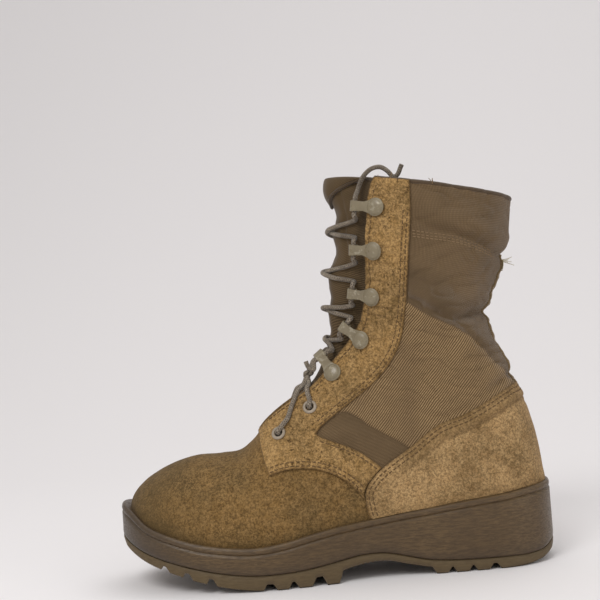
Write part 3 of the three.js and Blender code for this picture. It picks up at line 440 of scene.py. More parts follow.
def sheet(name, outer, inner, uv, material, turned=False, dirt_and_shade=None, **more):
    """A closed sheet between two grids of points."""
    faces = patch_faces(*outer.shape[:2])
    if turned:
        faces = [face[::-1] for face in faces]
    points, faces = closed_sheet(outer.reshape(-1, 3), inner.reshape(-1, 3), faces)
    values = {} if dirt_and_shade is None else {"dirt_and_shade": np.tile(dirt_and_shade.ravel(), 2)}
    return make(name, points, faces, material, np.vstack([uv.reshape(-1, 2)] * 2), values, **more)


def linked(rings, count, close=False):
    """Faces between rings of points in a row; close joins the last ring to the first."""
    total = rings * count
    faces = []
    for i in range(rings if close else rings - 1):
        for k in range(count):
            a, b = i * count + k, i * count + (k + 1) % count
            faces.append([a, b, (b + count) % total, (a + count) % total])
    return faces


def end_faces(rings, count):
    """One face over each end of such a row."""
    total = rings * count
    return [list(range(count))[::-1], list(range(total - count, total))]


class Grid:
    """Points over the sock, evenly spaced round each section: the whole sock (side 0) or one half of it."""

    def __init__(self, t_from, t_to, rows, columns, side=0):
        self.t = np.linspace(t_from, t_to, rows)[:, None]
        low, high = {0: (0, 2 * PI), 1: (0, PI), -1: (PI, 2 * PI)}[side]
        fine = np.linspace(low, high, 360)
        line = skin_point(self.t, fine)
        steps = np.linalg.norm(np.diff(line, axis=1), axis=2)
        run = np.concatenate([np.zeros((rows, 1)), np.cumsum(steps, 1)], 1)
        share = np.linspace(0, 1, columns + 1)[: columns if side == 0 else None]
        self.angle = np.stack([np.interp(share * r[-1], r, fine) for r in run])
        self.wrap = side == 0
        self.skin = skin_point(self.t, self.angle)
        self.normal = skin_normal(self.t, self.angle)
        self.relief = relief(self.skin)
        climb = np.linalg.norm(np.diff(skin_point(self.t, PI * 0.6), axis=0), axis=2)
        v = np.concatenate([[[0.0]], np.cumsum(climb, 0)])
        self.uv = np.stack(np.broadcast_arrays(share * run[:, -1:], v), -1)
        self.x, self.y, self.z = np.moveaxis(self.skin, -1, 0)

    def at(self, out):
        """Points of the grid at a height over the slack skin."""
        return self.skin + self.normal * (self.relief + out)[..., None]

    def throat_field(self):
        """Positive in the throat: about how far inside its edge a point lies."""
        gap = THROAT("half_gap", np.maximum(self.t, THROAT_START))
        reach = angle_to_side(self.t, gap)
        from_front = np.abs(PI - self.angle)
        aside = (reach - from_front) * SECTIONS("half", self.t)
        return np.minimum(aside, (self.t - THROAT_START) * THROAT_SECTION)

    def cut(self, field):
        """Keeps the part where field is negative, its border on the zero line. Gives a function that reads
        any array over the grid at the kept points, and the faces."""
        rows, columns = field.shape
        index = np.arange(rows * columns).reshape(rows, columns)
        right = np.roll(index, -1, 1) if self.wrap else index[:, 1:]
        left = index if self.wrap else index[:, :-1]
        cells = np.stack([left[:-1], left[1:], right[1:], right[:-1]], -1).reshape(-1, 4)
        f = field.ravel()
        kept = (f[cells] < 0).sum(1)
        faces = cells[kept == 4].tolist()
        starts, ends, shares, crossings = [], [], [], {}
        for cell in cells[(kept > 0) & (kept < 4)].tolist():
            face = []
            for p, q in zip(cell, [*cell[1:], cell[0]]):
                if f[p] < 0:
                    face.append(p)
                if (f[p] < 0) != (f[q] < 0):
                    pair = (min(p, q), max(p, q))
                    if pair not in crossings:
                        crossings[pair] = rows * columns + len(starts)
                        starts.append(pair[0])
                        ends.append(pair[1])
                        shares.append(f[pair[0]] / (f[pair[0]] - f[pair[1]]))
                    face.append(crossings[pair])
            faces.append(face)
        first = np.concatenate([index.ravel(), np.array(starts, int)])
        second = np.concatenate([index.ravel(), np.array(ends, int)])
        share = np.concatenate([np.zeros(rows * columns), shares])
        used = np.unique(np.concatenate([np.array(x) for x in faces]))
        new = np.zeros(len(first), int)
        new[used] = np.arange(len(used))
        faces = [[int(new[i]) for i in face] for face in faces]

        def read(values):
            flat = np.asarray(values).reshape(rows * columns, -1)
            s = share[used][:, None]
            return np.squeeze(flat[first[used]] * (1 - s) + flat[second[used]] * s)

        return read, faces


def bvh_of(obj):
    mesh = obj.data
    points = [v.co / MM for v in mesh.vertices]
    return BVHTree.FromPolygons(points, [tuple(p.vertices) for p in mesh.polygons])


def tube(path, radius=LACE, sides=14):
    """A round bar along a path of points: its points, faces and UV (turns round it, length along it)."""
    path = np.asarray(path, float)
    radius = np.broadcast_to(radius, (len(path),))
    along = unit(np.gradient(path, axis=0))
    normal = unit(np.cross(along[0], [0.31, 0.17, 0.93]))
    ring_angles = np.linspace(0, 2 * PI, sides, endpoint=False)
    points, uv, run = [], [], 0.0
    for i, p in enumerate(path):
        normal = unit(normal - along[i] * (normal @ along[i]))
        other = np.cross(along[i], normal)
        run += np.linalg.norm(p - path[i - 1]) if i else 0
        for k, a in enumerate(ring_angles):
            points.append(p + radius[i] * (normal * math.cos(a) + other * math.sin(a)))
            uv.append((k / sides, run))
    faces = linked(len(path), sides) + end_faces(len(path), sides)
    return np.array(points), faces, np.array(uv)


def bound_edge(name, path, radius, sides, material):
    """A bound edge: a tube of cloth along a path."""
    points, faces, uv = tube(path, radius, sides)
    make(name, points, faces, material, uv * (2 * PI * radius, 1), slot="canvas")


def lathe(profile, segments):
    """A turned form about Z from (radius, height) points; a profile that closes gives a ring."""
    turns = np.linspace(0, 2 * PI, segments, endpoint=False)
    points = np.array([(r * math.cos(a), r * math.sin(a), z) for r, z in profile for a in turns])
    if profile[0] == profile[-1]:
        rings = len(profile) - 1
        return points[: rings * segments], linked(rings, segments, True)
    return points, linked(len(profile), segments) + end_faces(len(profile), segments)


class Gathered:
    """Many small forms in one mesh."""

    def __init__(self):
        self.points, self.faces, self.uv, self.count = [], [], [], 0

    def add(self, points, faces, uv=None):
        self.points.append(np.asarray(points, float))
        self.faces += [[i + self.count for i in f] for f in faces]
        self.uv += list(uv) if uv is not None else [(0, 0)] * len(points)
        self.count += len(points)

    def make(self, name, material, **more):
        return make(name, np.vstack(self.points), self.faces, material, uv=self.uv, **more)


def placed(points, basis, origin):
    return np.asarray(points, float) @ np.asarray(basis, float) + origin


def frame_at(t, angle, towards, out):
    """Origin and axes of a frame on the skin: X towards a second point, Z out of the boot."""
    origin, normal = skin(t, angle, out), skin_normal(t, angle)
    ahead = np.asarray(towards) - origin
    ahead = unit(ahead - normal * (ahead @ normal))
    return origin, np.stack([ahead, np.cross(normal, ahead), normal])


# ---- camera
CAMERA_DISTANCE = 800.0
CAMERA_X, CAMERA_Z = 13.55, 189.2
CAMERA_ROLL = math.radians(4.358)
PICTURE_WIDTH = 420.0  # what the picture spans in the plane of the boot's middle

camera_data = bpy.data.cameras.new("camera")
camera_data.angle = 2 * math.atan(PICTURE_WIDTH / 2 / CAMERA_DISTANCE)
camera = bpy.data.objects.new("camera", camera_data)
level, lean = math.cos(CAMERA_ROLL), math.sin(CAMERA_ROLL)
camera.matrix_world = Matrix((
    (-level, -lean, 0, CAMERA_X * MM),
    (0, 0, 1, CAMERA_DISTANCE * MM),
    (-lean, level, 0, CAMERA_Z * MM),
    (0, 0, 0, 1),
))
bpy.context.scene.collection.objects.link(camera)
bpy.context.scene.camera = camera


# ---- materials
def tone(red, green, blue):
    """A screen colour, 0 to 255, as the linear colour that a shader takes."""
    shares = [v / 255 for v in (red, green, blue)]
    return (*(v / 12.92 if v < 0.04 else ((v + 0.055) / 1.055) ** 2.4 for v in shares), 1.0)


class Shader:
    """The nodes of one material."""

    def __init__(self, name):
        self.material = bpy.data.materials.new(name)
        self.material.use_nodes = True
        self.tree = self.material.node_tree
        self.surface = self.tree.nodes["Principled BSDF"]

    def add(self, kind, inputs=None, out=0, **settings):
        made = self.tree.nodes.new("ShaderNode" + kind)
        for key, value in settings.items():
            setattr(made, key, value)
        for key, value in (inputs or {}).items():
            self.put(made.inputs[key], value)
        return made.outputs[out]

    def put(self, socket, value):
        if isinstance(value, bpy.types.NodeSocket):
            self.tree.links.new(value, socket)
        else:
            socket.default_value = value

    def where(self, kind="Object", scale=(1, 1, 1), turn=0.0):
        """Coordinates: Object in metres, or UV in millimetres along the cloth."""
        at = self.add("TexCoord", out=kind)
        return self.add("Mapping", {"Vector": at, "Scale": scale, "Rotation": (0, 0, turn)})

    def noise(self, size, detail=3.0, roughness=0.55, stretch=(1, 1, 1)):
        """Noise with features of about that many millimetres."""
        scale = [1000 / size * k for k in stretch]
        return self.add("TexNoise", {"Vector": self.where(scale=scale), "Scale": 1.0, "Detail": detail,
                                     "Roughness": roughness})

    def ease(self, value, low, high, start=0.0, end=1.0):
        return self.add("MapRange", {"Value": value, "From Min": low, "From Max": high, "To Min": start,
                                     "To Max": end}, interpolation_type="SMOOTHSTEP")

    def mix(self, factor, a, b, kind="MIX"):
        made = self.tree.nodes.new("ShaderNodeMix")
        made.data_type, made.blend_type = "RGBA", kind
        for index, value in ((0, factor), (6, a), (7, b)):
            self.put(made.inputs[index], value)
        return made.outputs[2]

    def math(self, operation, a, b=0.0):
        made = self.tree.nodes.new("ShaderNodeMath")
        made.operation = operation
        self.put(made.inputs[0], a)
        self.put(made.inputs[1], b)
        return made.outputs[0]

    def patchy(self, color, other, share, size, low, high, detail=3.0, roughness=0.55):
        """A colour with up to that share of another one in patches, where noise is over low to high."""
        return self.mix(self.ease(self.noise(size, detail, roughness), low, high, 0, share), color, other)

    def number(self, name):
        """A number that make() stored for each point."""
        return self.add("Attribute", out="Fac", attribute_name=name)

    def bump(self, height, millimetres, strength=1.0, under=None):
        inputs = {"Height": height, "Distance": millimetres * MM, "Strength": strength}
        if under is not None:
            inputs["Normal"] = under
        return self.add("Bump", inputs)

    def finish(self, color, roughness, normal=None, **more):
        self.put(self.surface.inputs["Base Color"], color)
        self.put(self.surface.inputs["Roughness"], roughness)
        if normal is not None:
            self.put(self.surface.inputs["Normal"], normal)
        for key, value in more.items():
            self.surface.inputs[key.replace("_", " ")].default_value = value
        return self.material


def suede(name, light, middle, dark, specks):
    m = Shader(name)
    speck = tone(66, 46, 24)
    color = m.patchy(middle, dark, 0.75, 30, 0.36, 0.66)
    color = m.patchy(color, light, 0.45, 5, 0.32, 0.68, 4, 0.7)
    nap = m.ease(m.noise(1.5, 4, 0.85), 0.38, 0.62, 0.58, 1.38)
    color = m.mix(1.0, color, m.add("CombineColor", {0: nap, 1: nap, 2: nap}), "MULTIPLY")
    where_specks = m.ease(m.noise(22, 2), 0.38, 0.6, 0.25, 1)
    spots = m.math("MULTIPLY", m.ease(m.noise(2.4, 3, 0.8), 0.54, 0.64), where_specks)
    color = m.mix(m.math("MULTIPLY", spots, specks), color, speck)
    # The dirt number holds real dirt, and painted shade where pieces tuck under others and between the lugs.
    color = m.mix(m.number("dirt_and_shade"), color, dark)
    # The dark number is painted shade along the panels' cut edges and in the counter's stitch groove.
    color = m.mix(m.number("dark"), color, speck)
    height = m.bump(m.noise(1.0, 3, 0.85), 0.5, 0.75, m.bump(m.noise(3.2, 3, 0.8), 0.9, 0.5))
    return m.finish(color, 0.95, height, Sheen_Weight=0.06, Sheen_Roughness=0.5, Specular_IOR_Level=0.12)


def cloth(name, light, dark, thread=0.9, turn=0.0):
    """Woven nylon. thread: the weave's pitch; light and dark: over and between the threads."""
    m = Shader(name)
    where = m.where("UV", turn=turn)
    wave = {"Vector": where, "Scale": 1 / thread / 3.18, "Distortion": 0.25, "Detail Scale": 0.4}
    across = m.add("TexWave", wave, out="Fac", bands_direction="X")
    along = m.add("TexWave", wave, out="Fac", bands_direction="Y")
    weave = m.math("MULTIPLY", across, m.ease(along, 0, 1, 0.55, 1))
    color = m.mix(m.ease(weave, 0, 1, 0.1, 0.92), dark, light)
    color = m.patchy(color, dark, 0.45, 26, 0.3, 0.7, 4)
    color = m.patchy(color, light, 0.25, 3, 0.6, 0.75, 4, 0.8)
    # The dirt number: real dirt, and painted shade where the cloth tucks under other pieces.
    color = m.mix(m.number("dirt_and_shade"), color, dark)
    height = m.bump(weave, 0.5, 0.8, m.bump(m.noise(5, 3), 0.5, 0.35))
    return m.finish(color, 0.72, height, Sheen_Weight=0.2, Sheen_Roughness=0.4, Specular_IOR_Level=0.25)


def ribbed_cloth():
    """Fine ribs that rise to the heel, each a bar of thread over a dark gap."""
    m = Shader("ribbed nylon")
    turn = {"Rotation": (0, PI / 2 - RIB["slope"], 0), "Vector": m.add("TexCoord", out="Object")}
    where = m.add("Mapping", turn)
    wander = m.noise(18, 2)
    across = m.math("MULTIPLY", m.add("SeparateXYZ", {"Vector": where}), 1000 / RIB["pitch"])
    phase = m.math("ADD", across, m.math("MULTIPLY", wander, 1.6))
    rib = m.ease(m.math("SINE", m.math("MULTIPLY", phase, 2 * PI)), -0.9, 0.8)
    thread = m.noise(0.9, 3, 0.8)
    color = m.mix(rib, tone(84, 64, 38), tone(164, 136, 98))
    color = m.mix(m.ease(thread, 0.35, 0.65, 0, 0.4), color, tone(92, 72, 46))
    color = m.patchy(color, tone(92, 73, 52), 0.35, 24, 0.35, 0.7)
    # The dirt number here is painted shade along the cloth's edges, where it tucks under the pieces round it.
    color = m.mix(m.number("dirt_and_shade"), color, tone(76, 59, 40))
    bump = m.bump(rib, 0.35, 0.7, m.bump(thread, 0.3, 0.5))
    return m.finish(color, 0.8, bump, Sheen_Weight=0.12, Specular_IOR_Level=0.2)


def rubber(name, light, dark, streak, roughness):
    m = Shader(name)
    grain = m.noise(0.95, 4, 0.75, (0.14, 0.4, 1))
    color = m.mix(m.ease(grain, 0.35, 0.68, 0, streak), dark, light)
    color = m.patchy(color, dark, 0.4, 30, 0.35, 0.7)
    color = m.patchy(color, tone(120, 102, 78), 0.5, 5, 0.58, 0.8, 5, 0.8)
    # The dirt number: darker near the parting and the toe, and painted shade between the outsole's lugs.
    color = m.mix(m.number("dirt_and_shade"), color, tone(62, 51, 40))
    rough = m.ease(grain, 0.3, 0.7, roughness + 0.12, roughness - 0.1)
    return m.finish(color, rough, m.bump(grain, 0.5, 0.5), Specular_IOR_Level=0.4)


def enamel(name, color, wear_and_shade, wear):
    """Painted metal, its paint rubbed through in spots."""
    m = Shader(name)
    spots = m.ease(m.noise(4.5, 4, 0.7), 0.56, 0.66, 0, wear)
    base = m.mix(spots, m.patchy(color, tone(104, 92, 72), 0.35, 8, 0.3, 0.7), wear_and_shade)
    m.put(m.surface.inputs["Metallic"], m.math("MULTIPLY", spots, 0.8))
    rough = m.ease(m.noise(6, 4), 0.3, 0.75, 0.26, 0.5)
    return m.finish(base, rough, m.bump(m.noise(1.8, 3), 0.12, 0.4))


def braid(name, light, dark):
    """A braided cord: two sets of strands that wind opposite ways round it."""
    m = Shader(name)
    at = m.add("SeparateXYZ", {"Vector": m.add("TexCoord", out="UV")})
    x, y = at, at.node.outputs[1]
    strands = []
    for hand in (1, -1):
        turn = m.math("ADD", m.math("MULTIPLY", x, 4.0), m.math("MULTIPLY", y, hand * 0.62))
        wave = m.math("SINE", m.math("MULTIPLY", turn, 2 * PI))
        strands.append(m.ease(wave, -0.2, 0.9))
    height = m.math("MAXIMUM", strands[0], strands[1])
    color = m.mix(m.ease(height, 0, 1, 0.1, 0.9), dark, light)
    color = m.patchy(color, tone(176, 164, 146), 0.55, 1.1, 0.52, 0.62, 2, 0.7)
    color = m.patchy(color, dark, 0.5, 14, 0.4, 0.7)
    return m.finish(color, 0.85, m.bump(height, 0.35, 0.8), Sheen_Weight=0.2, Specular_IOR_Level=0.2)


def plain(name, color, roughness):
    m = Shader(name)
    shadow = (*(0.45 * v for v in color[:3]), 1.0)
    color = m.patchy(color, shadow, 0.3, 1.2, 0.35, 0.7, 3, 0.7)
    return m.finish(color, roughness, m.bump(m.noise(1.2), 0.2, 0.5))


VAMP_SUEDE = suede("vamp suede", tone(150, 120, 78), tone(117, 90, 52), tone(88, 71, 44), 0.6)
QUARTER_SUEDE = suede("quarter suede", tone(184, 150, 102), tone(144, 113, 69), tone(98, 77, 46), 0.9)
COUNTER_SUEDE = suede("counter suede", tone(184, 154, 110), tone(160, 129, 88), tone(112, 88, 55), 0.3)
NYLON = cloth("shaft nylon", tone(136, 111, 80), tone(86, 68, 44), 1.0, math.radians(12))
TONGUE_NYLON = cloth("tongue nylon", tone(114, 92, 62), tone(70, 55, 34), 1.1, math.radians(45))
LINING = cloth("lining", tone(100, 81, 58), tone(62, 49, 34), 1.2, math.radians(45))
EDGING = cloth("edging", tone(108, 88, 66), tone(72, 57, 41))
WEBBING = cloth("webbing", tone(158, 138, 104), tone(112, 91, 62), 1.1)
RIBBED_NYLON = ribbed_cloth()
MIDSOLE_RUBBER = rubber("midsole rubber", tone(110, 88, 57), tone(72, 55, 34), 0.7, 0.38)
OUTSOLE_RUBBER = rubber("outsole rubber", tone(112, 94, 62), tone(84, 68, 43), 0.4, 0.55)
KHAKI = enamel("khaki enamel", tone(128, 117, 93), tone(190, 183, 164), 0.4)
EYELET_METAL = enamel("eyelet metal", tone(156, 142, 124), tone(188, 180, 168), 0.5)
VENT_METAL = enamel("vent metal", tone(112, 106, 96), tone(166, 162, 156), 0.7)
BRAID = braid("lace braid", tone(142, 129, 112), tone(70, 60, 50))
DARK_THREAD = plain("dark thread", tone(98, 74, 44), 0.9)
TAN_THREAD = plain("tan thread", tone(132, 108, 78), 0.85)
PALE_THREAD = plain("pale thread", tone(212, 204, 182), 0.8)
YELLOW_THREAD = plain("yellow thread", tone(150, 134, 88), 0.8)
# Painted shade for the vent holes.
PAINTED_HOLE_SHADE = plain("painted_hole_shade", tone(38, 30, 24), 0.9)


# ---- hardware frames
def eyelet_frame(row, side):
    t, angle = locate(*EYELETS[row], side)
    return frame_at(t, angle, skin(t + 0.5, angle), OVERLAY)


def hook_frame(row, side):
    x, z, tip_x, tip_z = HOOKS[row]
    t, angle = locate(x, z, side)
    tip_t, tip_angle = locate(tip_x, tip_z, side)
    return frame_at(t, angle, skin(tip_t, tip_angle), HOOK_OUT)


EYELET_FRAMES = {(row, side): eyelet_frame(row, side) for row in EYELETS for side in SIDES.values()}
HOOK_FRAMES = {(row, side): hook_frame(row, side) for row in HOOKS for side in SIDES.values()}


def in_eyelet(row, side, point):
    origin, basis = EYELET_FRAMES[row, side]
    return placed(point, basis, origin)


def loop_point(row, side, end, beyond=GAP):
    """A point on the axis of a hook's loop: end is 1 for its upper mouth and -1 for its lower one."""
    origin, basis = HOOK_FRAMES[row, side]
    aside = -side * end * (HOOK["width"] + beyond)
    return placed((HOOK["length"] + HOOK["loop"], aside, LOOP_HEIGHT), basis, origin)


def out_of_loop(row, side, end):
    straight = 2.4  # a lace bends only beyond this
    return [loop_point(row, side, end), loop_point(row, side, end, GAP + straight)]


# ---- laces
# How the tongue puffs out between the crossings.
PUFF = Table("t out", [(9, 0), (12, 0), (13.9, -0.8), (15.05, 1.4), (16.25, -0.8), (17.9, 2.2), (19.4, -0.8),
                       (21, 1.8), (22.6, -0.8), (24.3, 1.6), (26, 0.6)])
TONGUE_SIDE = 0.88  # the share of the throat's half width over which it comes up


def tongue_face(t, distance):
    """The height of the tongue's face over the skin: it swells in the throat and dives under its edges."""
    opening = 1 - smoothstep(distance / THROAT("half_gap", t), 0.15, TONGUE_SIDE)
    depth = -WALL - 1.2 - 1.4 * smoothstep(11.5 - np.asarray(t, float), 0, 2)
    return depth + (np.maximum(THROAT("swell", t), depth) - depth) * opening + PUFF("out", t) * opening


def over_throat(t, y, out=0.0):
    """The skin's point at that y, near the front line."""
    offset = y - skin_point(t, PI)[..., 1]
    return skin(t, PI - np.sign(offset) * angle_to_side(t, np.abs(offset)), out)


def lace_over(start, finish, lift):
    """Points between two ends of a lace over the throat: it lies on the tongue or the suede, and is lifted
    in the middle."""
    between = []
    sunk, cut_corner = 0.2, 1.2
    for share in np.linspace(0, 1, 8)[1:-1]:
        straight = start + (finish - start) * share
        ts = np.linspace(8, COLLAR, 361)
        t = ts[np.argmin(np.linalg.norm(over_throat(ts, straight[1]) - straight, axis=1))]
        foot = over_throat(t, straight[1])
        normal = over_throat(t, straight[1], 1.0) - foot
        distance = abs(straight[1] - skin_point(t, PI)[1])
        over_tongue = distance < THROAT("half_gap", t) - LACE - 1
        ground = tongue_face(t, distance) if over_tongue else OVERLAY
        crossing = lift * ridge(share - 0.5, 0.17)
        height = max(ground + LACE - sunk + crossing, (straight - foot) @ normal - cut_corner)
        between.append(foot + normal * height)
    return between


def strand(side, lift, start):
    """One lace from its lowest hook up to the top, from side to side."""
    points, row = list(start), 3
    while row < max(HOOKS):
        mouth = out_of_loop(row, side, 1)
        goal = out_of_loop(row + 1, -side, -1)
        points += [*mouth, *lace_over(mouth[-1], goal[-1], lift), *goal[::-1]]
        side, row = -side, row + 1
    return spline([*points, loop_point(row, side, 1, 0)], LACE_STEP)


def lead(row, side):
    """From inside an eyelet up to the knot."""
    top = in_eyelet(row, side, (0, 0, 2.4))
    end = KNOT + (1.6, side * 2.4, -1.8)
    return spline([in_eyelet(row, side, (0, 0, -4)), in_eyelet(row, side, (0, 0, 0.8)), top,
                   *lace_over(top, end, 0.0)[1:], end], LACE_STEP)


# The lateral lace crosses over the medial one.
STRANDS = {
    "lateral": strand(1, 3.0, [loop_point(3, 1, 1, 0)]),
    "medial": strand(-1, 0.0, [KNOT, KNOT + (-1.6, -4.8, 2.6), *out_of_loop(3, -1, -1)[::-1]]),
}
LEADS = {(row, side): lead(row, side) for row in EYELETS for side in SIDES.values()}
ENDS = {
    "lace_stub": [loop_point(3, 1, 1, 3.6), loop_point(3, 1, 1, 0), *out_of_loop(3, 1, -1), *STUB],
    "lace_end_lateral": [*out_of_loop(7, 1, 1), *END_LATERAL],
    "lace_end_medial": [*out_of_loop(7, -1, 1), *END_MEDIAL],
}


def build_laces():
    for name, side in SIDES.items():
        crossings = [f"lace_cross_{row}" for row in range(3, 7)] if side > 0 else ["lace_to_hook_medial"]
        points, faces, uv = tube(STRANDS[name])
        make(f"lace_{name}", points, faces, BRAID, uv, node_names=crossings, slot="lace")
        low = Gathered()
        for row in EYELETS:
            low.add(*tube(LEADS[row, side]))
        low.make(f"lace_leads_{name}", BRAID, node_names=[f"lace_low_{name}"], slot="lace")
    turns = np.linspace(0, 2 * PI, 90)
    trefoil = np.stack([np.sin(turns) + 2 * np.sin(2 * turns), np.cos(turns) - 2 * np.cos(2 * turns),
                        -1.3 * np.sin(3 * turns)], 1)
    points, faces, uv = tube(trefoil * 1.25, 1.45)
    tilt = np.array(Matrix.Rotation(math.radians(48), 3, "Y"))
    knot = make("lace_knotted", points @ tilt.T + KNOT, faces, BRAID, uv, node_names=["lace_knot"],
                slot="lace")
    for name, route in ENDS.items():
        path = spline(route, LACE_STEP)
        points, faces, uv = tube(path)
        piece = make(f"{name}_braid", points, faces, BRAID, uv, node_names=[name], slot="lace")


build_laces()


# ---- upper
EYELET_CENTRES = [origin for origin, _ in EYELET_FRAMES.values()]


def over_eyelets(points):
    """Positive inside the eyelets' holes."""
    distances = [np.linalg.norm(points - centre, axis=-1) for centre in EYELET_CENTRES]
    return EYELET["hole"] + 0.3 - np.min(distances, axis=0)


def grime(p):
    """Dirt near the sole and over the toe, with some patches."""
    x, y, z = np.moveaxis(p, -1, 0)
    over_rim = z - PROFILE("rim", x)
    low = 0.55 * (1 - smoothstep(over_rim, 0, 11)) * (0.6 + 0.4 * bumps(p, 7, 3.0))
    toe = 0.55 * smoothstep(x, 85, 135) + 0.3 * smoothstep(z, 72, 84) * smoothstep(x, 45, 60)
    return np.clip(low + toe + 0.12 * bumps(p, 18, 9.0), 0, 1)


def build_upper():
    grid = Grid(0.3, COLLAR, 340, 240)
    field = np.maximum(grid.throat_field(), PROFILE("floor", grid.x) + GAP - grid.z)
    field = np.maximum(field, over_eyelets(grid.at(OVERLAY)))
    read, faces = grid.cut(field)
    # The rim holds the skin, so it lies flat there.
    settle = smoothstep(grid.z - PROFILE("rim", grid.x), -2, 9)
    slack = grid.normal * (grid.relief * settle)[..., None]
    outer = grid.skin + slack
    inner = grid.skin - grid.normal * WALL + slack
    front, back = read(outer), read(inner)
    points, all_faces = closed_sheet(front, back, faces)
    uv = np.vstack([read(grid.uv)] * 2)
    dirt_and_shade = np.tile(grime(front), 2)
    piece = make("upper_shell", points, all_faces, [VAMP_SUEDE, NYLON, LINING], uv, {"dirt_and_shade": dirt_and_shade},
                 node_names=["upper"], slot="suede")
    t = read(np.broadcast_to(grid.t, grid.x.shape))
    suede_face, nylon_face, lining_face = range(3)
    vamp_end = 12.2
    chosen = []
    for first, *_ in faces:
        x, _, z = front[first]
        over_arm = z > 82 + 0.67 * x and x < 28  # above the quarter's lower arm
        on_vamp = t[first] < vamp_end and x > -30 and not over_arm
        chosen.append(suede_face if on_vamp else nylon_face)
    chosen += [lining_face] * len(faces)
    chosen += [nylon_face] * (len(all_faces) - len(chosen))
    piece.data.polygons.foreach_set("material_index", chosen)
    return piece


def build_binding():
    """The rolled edge round the collar, from one side of the throat to the other."""
    reach = angle_to_side(COLLAR, THROAT("half_gap", COLLAR))
    angles = np.linspace(-(PI - reach), PI - reach, 150)
    edge = skin_point(COLLAR, angles)
    normal = skin_normal(COLLAR, angles)
    path = edge + normal * (relief(edge) - WALL / 2)[:, None] + (0, 0, -0.3)
    bound_edge("collar_binding", path, 1.75, 12, EDGING)


def panel(name, grid, field, height, material, back=PANEL_BACK, dirt_and_shade=None, dark=None, **more):
    """A cut piece of leather or cloth: its outer face at a height over the skin, its back at another."""
    read, faces = grid.cut(field)
    points, faces = closed_sheet(read(grid.at(height)), read(grid.at(back)), faces)
    values = {key: np.tile(read(v), 2) for key, v in (("dirt_and_shade", dirt_and_shade), ("dark", dark)) if v is not None}
    return make(name, points, faces, material, np.vstack([read(grid.uv)] * 2), values, **more)


def rounded_edge(inside):
    """How far a panel's face drops at a distance inside its edge."""
    radius = 1.1
    s = np.clip(inside / radius, 0, 1)
    return -radius * 0.75 * (1 - np.sqrt(1 - (1 - s) ** 2))


def groove(inside, at, width=0.6, depth=0.28):
    """What a row of stitches presses into a panel."""
    return -depth * ridge(inside - at, width)


def rim_field(grid):
    """Negative over the sole's rim."""
    return PROFILE("rim", grid.x) + 0.4 - grid.z


ROWS_OF_STITCHES = (2.3, 5.0)  # their distances from a panel's edge


def build_quarter(name, side):
    grid = Grid(8.4, COLLAR, 430, 230, side)
    area = area_field(QUARTER, grid.x, grid.z)
    throat = grid.throat_field()
    field = np.maximum(np.maximum(area, throat), rim_field(grid))
    inside = -field
    height = OVERLAY + rounded_edge(inside)
    for at in ROWS_OF_STITCHES:
        height = height + groove(-np.maximum(area, throat), at)
    field = np.maximum(field, over_eyelets(grid.at(OVERLAY)))
    # Painted shadow: the suede is darkened along its cut edge, where the panel steps down to the skin.
    wear_and_shade = 0.6 * (1 - smoothstep(inside, 0.1, 1.2))
    return panel(f"quarter_{name}_suede", grid, field, height, QUARTER_SUEDE, dirt_and_shade=grime(grid.skin) * 0.8,
                 dark=wear_and_shade, node_names=[f"quarter_{name}"], slot="suede")


COUNTER_FOLD = 11.0  # how far its second line of stitches lies under its top edge


def build_counter():
    grid = Grid(8.4, 23, 330, 300)
    area = area_field(COUNTER, grid.x, grid.z)
    inside = -area
    back = smoothstep(-grid.x, 30, 60)
    fold = 0.9 * ridge(inside - COUNTER_FOLD + 3, 2.6) * back
    height = OVERLAY + rounded_edge(inside) + fold + groove(inside, COUNTER_FOLD, 0.8, 0.7) * back
    above_fold = 1 - smoothstep(inside, COUNTER_FOLD, COUNTER_FOLD + 3)
    height = height + 0.25 * bumps(grid.skin, 4, 3.0) * above_fold * back
    height = height + groove(inside, ROWS_OF_STITCHES[0]) * smoothstep(-grid.x, 20, 26)
    band = 0.35 * (1 - smoothstep(inside, COUNTER_FOLD - 2, COUNTER_FOLD + 1)) * back
    # Painted shade along the cut edge and in the groove of the second row of stitches.
    wear_and_shade = 0.55 * (1 - smoothstep(inside, 0.1, 1.2)) + 0.3 * ridge(inside - COUNTER_FOLD, 0.7) * back
    return panel("heel_counter_suede", grid, np.maximum(area, rim_field(grid)), height, COUNTER_SUEDE,
                 dirt_and_shade=np.clip(0.7 * grime(grid.skin) + band, 0, 1), dark=wear_and_shade,
                 node_names=["heel_counter"], slot="suede")


def build_ribbed(name, side):
    grid = Grid(11.2, 20.2, 220, 200, side)
    under_eyestay = 6.0
    field = np.maximum(area_field(RIBBED, grid.x, grid.z), grid.throat_field() + under_eyestay)
    edge = 1 - smoothstep(-field, 0, 1.5)
    # Its edges dip under the pieces round it and are darkened there: painted shade.
    return panel(f"ribbed_{name}", grid, field, 0.7 - 0.4 * edge, RIBBED_NYLON, 0.03, 0.45 * edge,
                 slot="canvas")


def build_backstay():
    """Webbing up the back seam."""
    rows, columns, half_width = 90, 16, 8
    t = np.linspace(18.9, 24.2, rows)[:, None]
    share = np.linspace(-1, 1, columns)[None, :]
    angle = share * half_width / SECTIONS("half", t)
    base, normal = skin_point(t, angle), skin_normal(t, angle)
    slack = relief(base)
    ribs = 0.12 * np.sin(np.arange(rows) * 0.9)[:, None] * np.ones_like(share)
    height = 1.7 - 0.5 * np.abs(share) ** 8 + ribs
    outer = base + normal * (slack + height)[..., None]
    inner = base + normal * (slack + PANEL_BACK)[..., None]
    climb = np.cumsum(np.full((rows, 1), 0.75), 0)
    uv = np.stack(np.broadcast_arrays(share * half_width, climb), -1)
    sheet("backstay_webbing", outer, inner, uv, WEBBING, node_names=["backstay"], slot="canvas")


# ---- tongue
def tongue_half(t):
    return np.minimum(THROAT("half_gap", t) + 8.6, 0.85 * SECTIONS("half", t))


